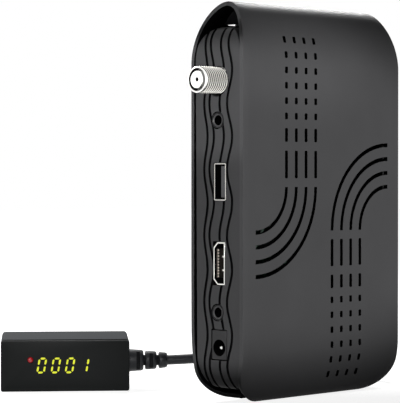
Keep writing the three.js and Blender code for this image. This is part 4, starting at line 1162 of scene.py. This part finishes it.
def screw(node):
    # a pan head with a cross recess; board screws face the vents, cover screws the back
    x, z, radius, low, high = nodeSize(node)
    facing = -1 if node.startswith("board") else 1
    top, length, cross = high if facing > 0 else low, high - low, radius * screws["cross"]
    shank, valley, pitch, head, half = sizes(screws, "shank valley pitch head crossHalf")
    profile = [(0, 0), (radius * 0.75, 0.02), (radius * 0.95, 0.25), (radius, 0.6), (radius, head),
               (shank, head)]
    for i in range(int((length - head - 1) / pitch)):
        place = head + 0.2 + i * pitch
        profile += [(shank, place), (valley, place + 0.3), (shank, place + 0.6)]
    profile += [(0.5, length), (0, length)]
    shape = coat(turned(pieceName(node), profile, (0, 0), 32), "nickel")
    for y, up in ((cross, half), (half, cross)):
        bar = box("cross", screws["crossDepth"], (-y, y), (-up, up), 0.05)
        combine(shape, coat(bar, "nickel"))
    shape.rotation_euler = (0, 0, -facing * math.pi / 2)
    shape.location = (x * mm, top * mm, z * mm)
    return dress(smooth(settle(shape)), "nickel", node)


for node, (look, edge) in inside.items():
    dressedCopy(node, look, edge, "nickel" if look == "can" else look, "receiver")
for number in (1, 2, 3):
    capacitor("capacitor_%d" % number)
for number in (1, 2, 3, 4):
    screw("board_screw_%d" % number)
for number in (1, 2):
    screw("cover_screw_%d" % number)
print("scene: inner parts made")

# floor, background and lamps
studio = {
    "floor": 6.0, "floorGreys": (0.78, 0.8), "near": 0.12, "far": 0.6, "lowest": 0.86,
    "fill": 0.07, "sky": ((0.0, 1.0), (0.2, 0.85), (0.5, 0.35), (1.0, 0.1)),
}
lamps = {
    # place and aim in metres, power, and the pool's reach, blend, lamp radius and width for its height
    "keyLamp": ((0.26, -0.86, 0.16), (-0.006, -0.0129, 0.0718), 31.8, 0.0682, 0.5, 0.015, 1.9),
    "upperLamp": ((-0.05, -0.9, 0.16), (-0.02, -0.0129, 0.1255), 12, 0.026, 1.0, 0.01, 2.2),
    "sideLamp": ((-0.9, -0.05, 0.2), (-0.042, 0, 0.0711), 27, 0.0594, 0.09, 0.004, 1.5),
    "portLamp": ((-0.9, -0.05, 0.2), (-0.042, 0, 0.1075), 14, 0.023, 0.4, 0.004, 2.0),
    "archLamp": ((-0.9, -0.05, 0.2), (-0.038, 0, 0.152), 24, 0.0185, 0.3, 0.004, 3.0),
    "moduleLamp": ((-0.6, -0.55, 0.25), (-0.057, 0.07, 0.008), 12.5, 0.044, 0.6, 0.03, 1.2),
    "crestLamp": ((0.525, 0.342, 0.54), (0, -0.004, 0.139), 45, 0.055, 0.8, 0.06, 1.0),
}
rimLamp = {"place": (0.1, 0.45, 0.5), "aim": (0, 0, 0.12), "power": 3, "size": (0.5, 0.3)}


def seenOrNot(tree, lighting, seen, target):
    # the camera and mirrors see one shader, and the other one lights the object
    path = addNode(tree, "LightPath")
    shiny, either = [addNode(tree, "Math", operation="MAXIMUM") for part in range(2)]
    choice = addNode(tree, "MixShader")
    wire(tree, (path, "Is Glossy Ray", shiny, 0), (path, "Is Transmission Ray", shiny, 1),
         (path, "Is Camera Ray", either, 0), (shiny, "Value", either, 1), (either, "Value", choice, "Fac"),
         (lighting, 0, choice, 1), (seen, 0, choice, 2), (choice, "Shader", target, "Surface"))


def floorMaterial():
    material, tree, shader = newMaterial("paleFloor")
    shader.inputs["Roughness"].default_value = 0.9
    shader.inputs["Specular IOR Level"].default_value = 0.0
    place = addNode(tree, "TexCoord")
    cloud = addNode(tree, "TexNoise", {"Scale": 3})
    ramp = addNode(tree, "ValToRGB")
    for stop, level in zip(ramp.color_ramp.elements, studio["floorGreys"]):
        stop.color = (level, level, level - 0.01, 1)
    # seen by the camera or in a mirror it is nearly white, and still takes the shadow
    away = addNode(tree, "VectorMath", operation="LENGTH")
    fade = addNode(tree, "MapRange", {"From Min": studio["near"], "From Max": studio["far"],
                                      "To Min": studio["lowest"]})
    white = addNode(tree, "Emission")
    seen = addNode(tree, "AddShader")
    wire(tree, (place, "Object", cloud, "Vector"), (cloud, "Fac", ramp, "Fac"),
         (ramp, "Color", shader, "Base Color"), (place, "Object", away, 0), (away, "Value", fade, "Value"),
         (fade, "Result", white, "Strength"), (shader, "BSDF", seen, 0), (white, "Emission", seen, 1))
    # what it scatters back on the object stays low
    dim = addNode(tree, "BsdfDiffuse", {"Color": shade(60, 60, 60)})
    seenOrNot(tree, dim, seen, tree.nodes["Material Output"])
    return material


bpy.ops.mesh.primitive_plane_add(size=studio["floor"], location=(0, 0, -0.00005))
floor = settle(named("studioFloor"))
floor.data.materials.append(floorMaterial())

world = bpy.data.worlds.new("softStudio")
bpy.context.scene.world = world
world.use_nodes = True
tree = world.node_tree
sky = tree.nodes["Background"]
sky.inputs["Strength"].default_value = studio["fill"]
white = addNode(tree, "Background", {"Color": (1, 1, 1, 1), "Strength": 1})
seenOrNot(tree, sky, white, tree.nodes["World Output"])
# the sky is white at the horizon and dimmer overhead
direction = addNode(tree, "TexCoord")
parts = addNode(tree, "SeparateXYZ")
ramp = addNode(tree, "ValToRGB")
for height, level in studio["sky"][1:-1]:
    ramp.color_ramp.elements.new(height)
for stop, (height, level) in zip(ramp.color_ramp.elements, studio["sky"]):
    stop.position = height
    stop.color = (level, level, level, 1)
wire(tree, (direction, "Generated", parts, "Vector"), (parts, "Z", ramp, "Fac"),
     (ramp, "Color", sky, "Color"))


def addLamp(name, kind, place, aim, power):
    away = Vector(aim) - Vector(place)
    bpy.ops.object.light_add(type=kind, location=place, rotation=away.to_track_quat("-Z", "Y").to_euler())
    lamp = named(name)
    lamp.data.energy = power
    return lamp, away.length


for name, (place, aim, power, reach, blend, radius, wide) in lamps.items():
    # each lamp makes a pool of light that fades towards its edge
    lamp, away = addLamp(name, "SPOT", place, aim, power)
    lamp.data.spot_size = 2 * math.atan(reach / away)
    lamp.scale = (wide, 1, 1)
    lamp.data.spot_blend = blend
    lamp.data.shadow_soft_size = radius
lamp, away = addLamp("rimLamp", "AREA", rimLamp["place"], rimLamp["aim"], rimLamp["power"])
lamp.data.shape = "RECTANGLE"
lamp.data.size, lamp.data.size_y = rimLamp["size"]
print("scene: studio made")
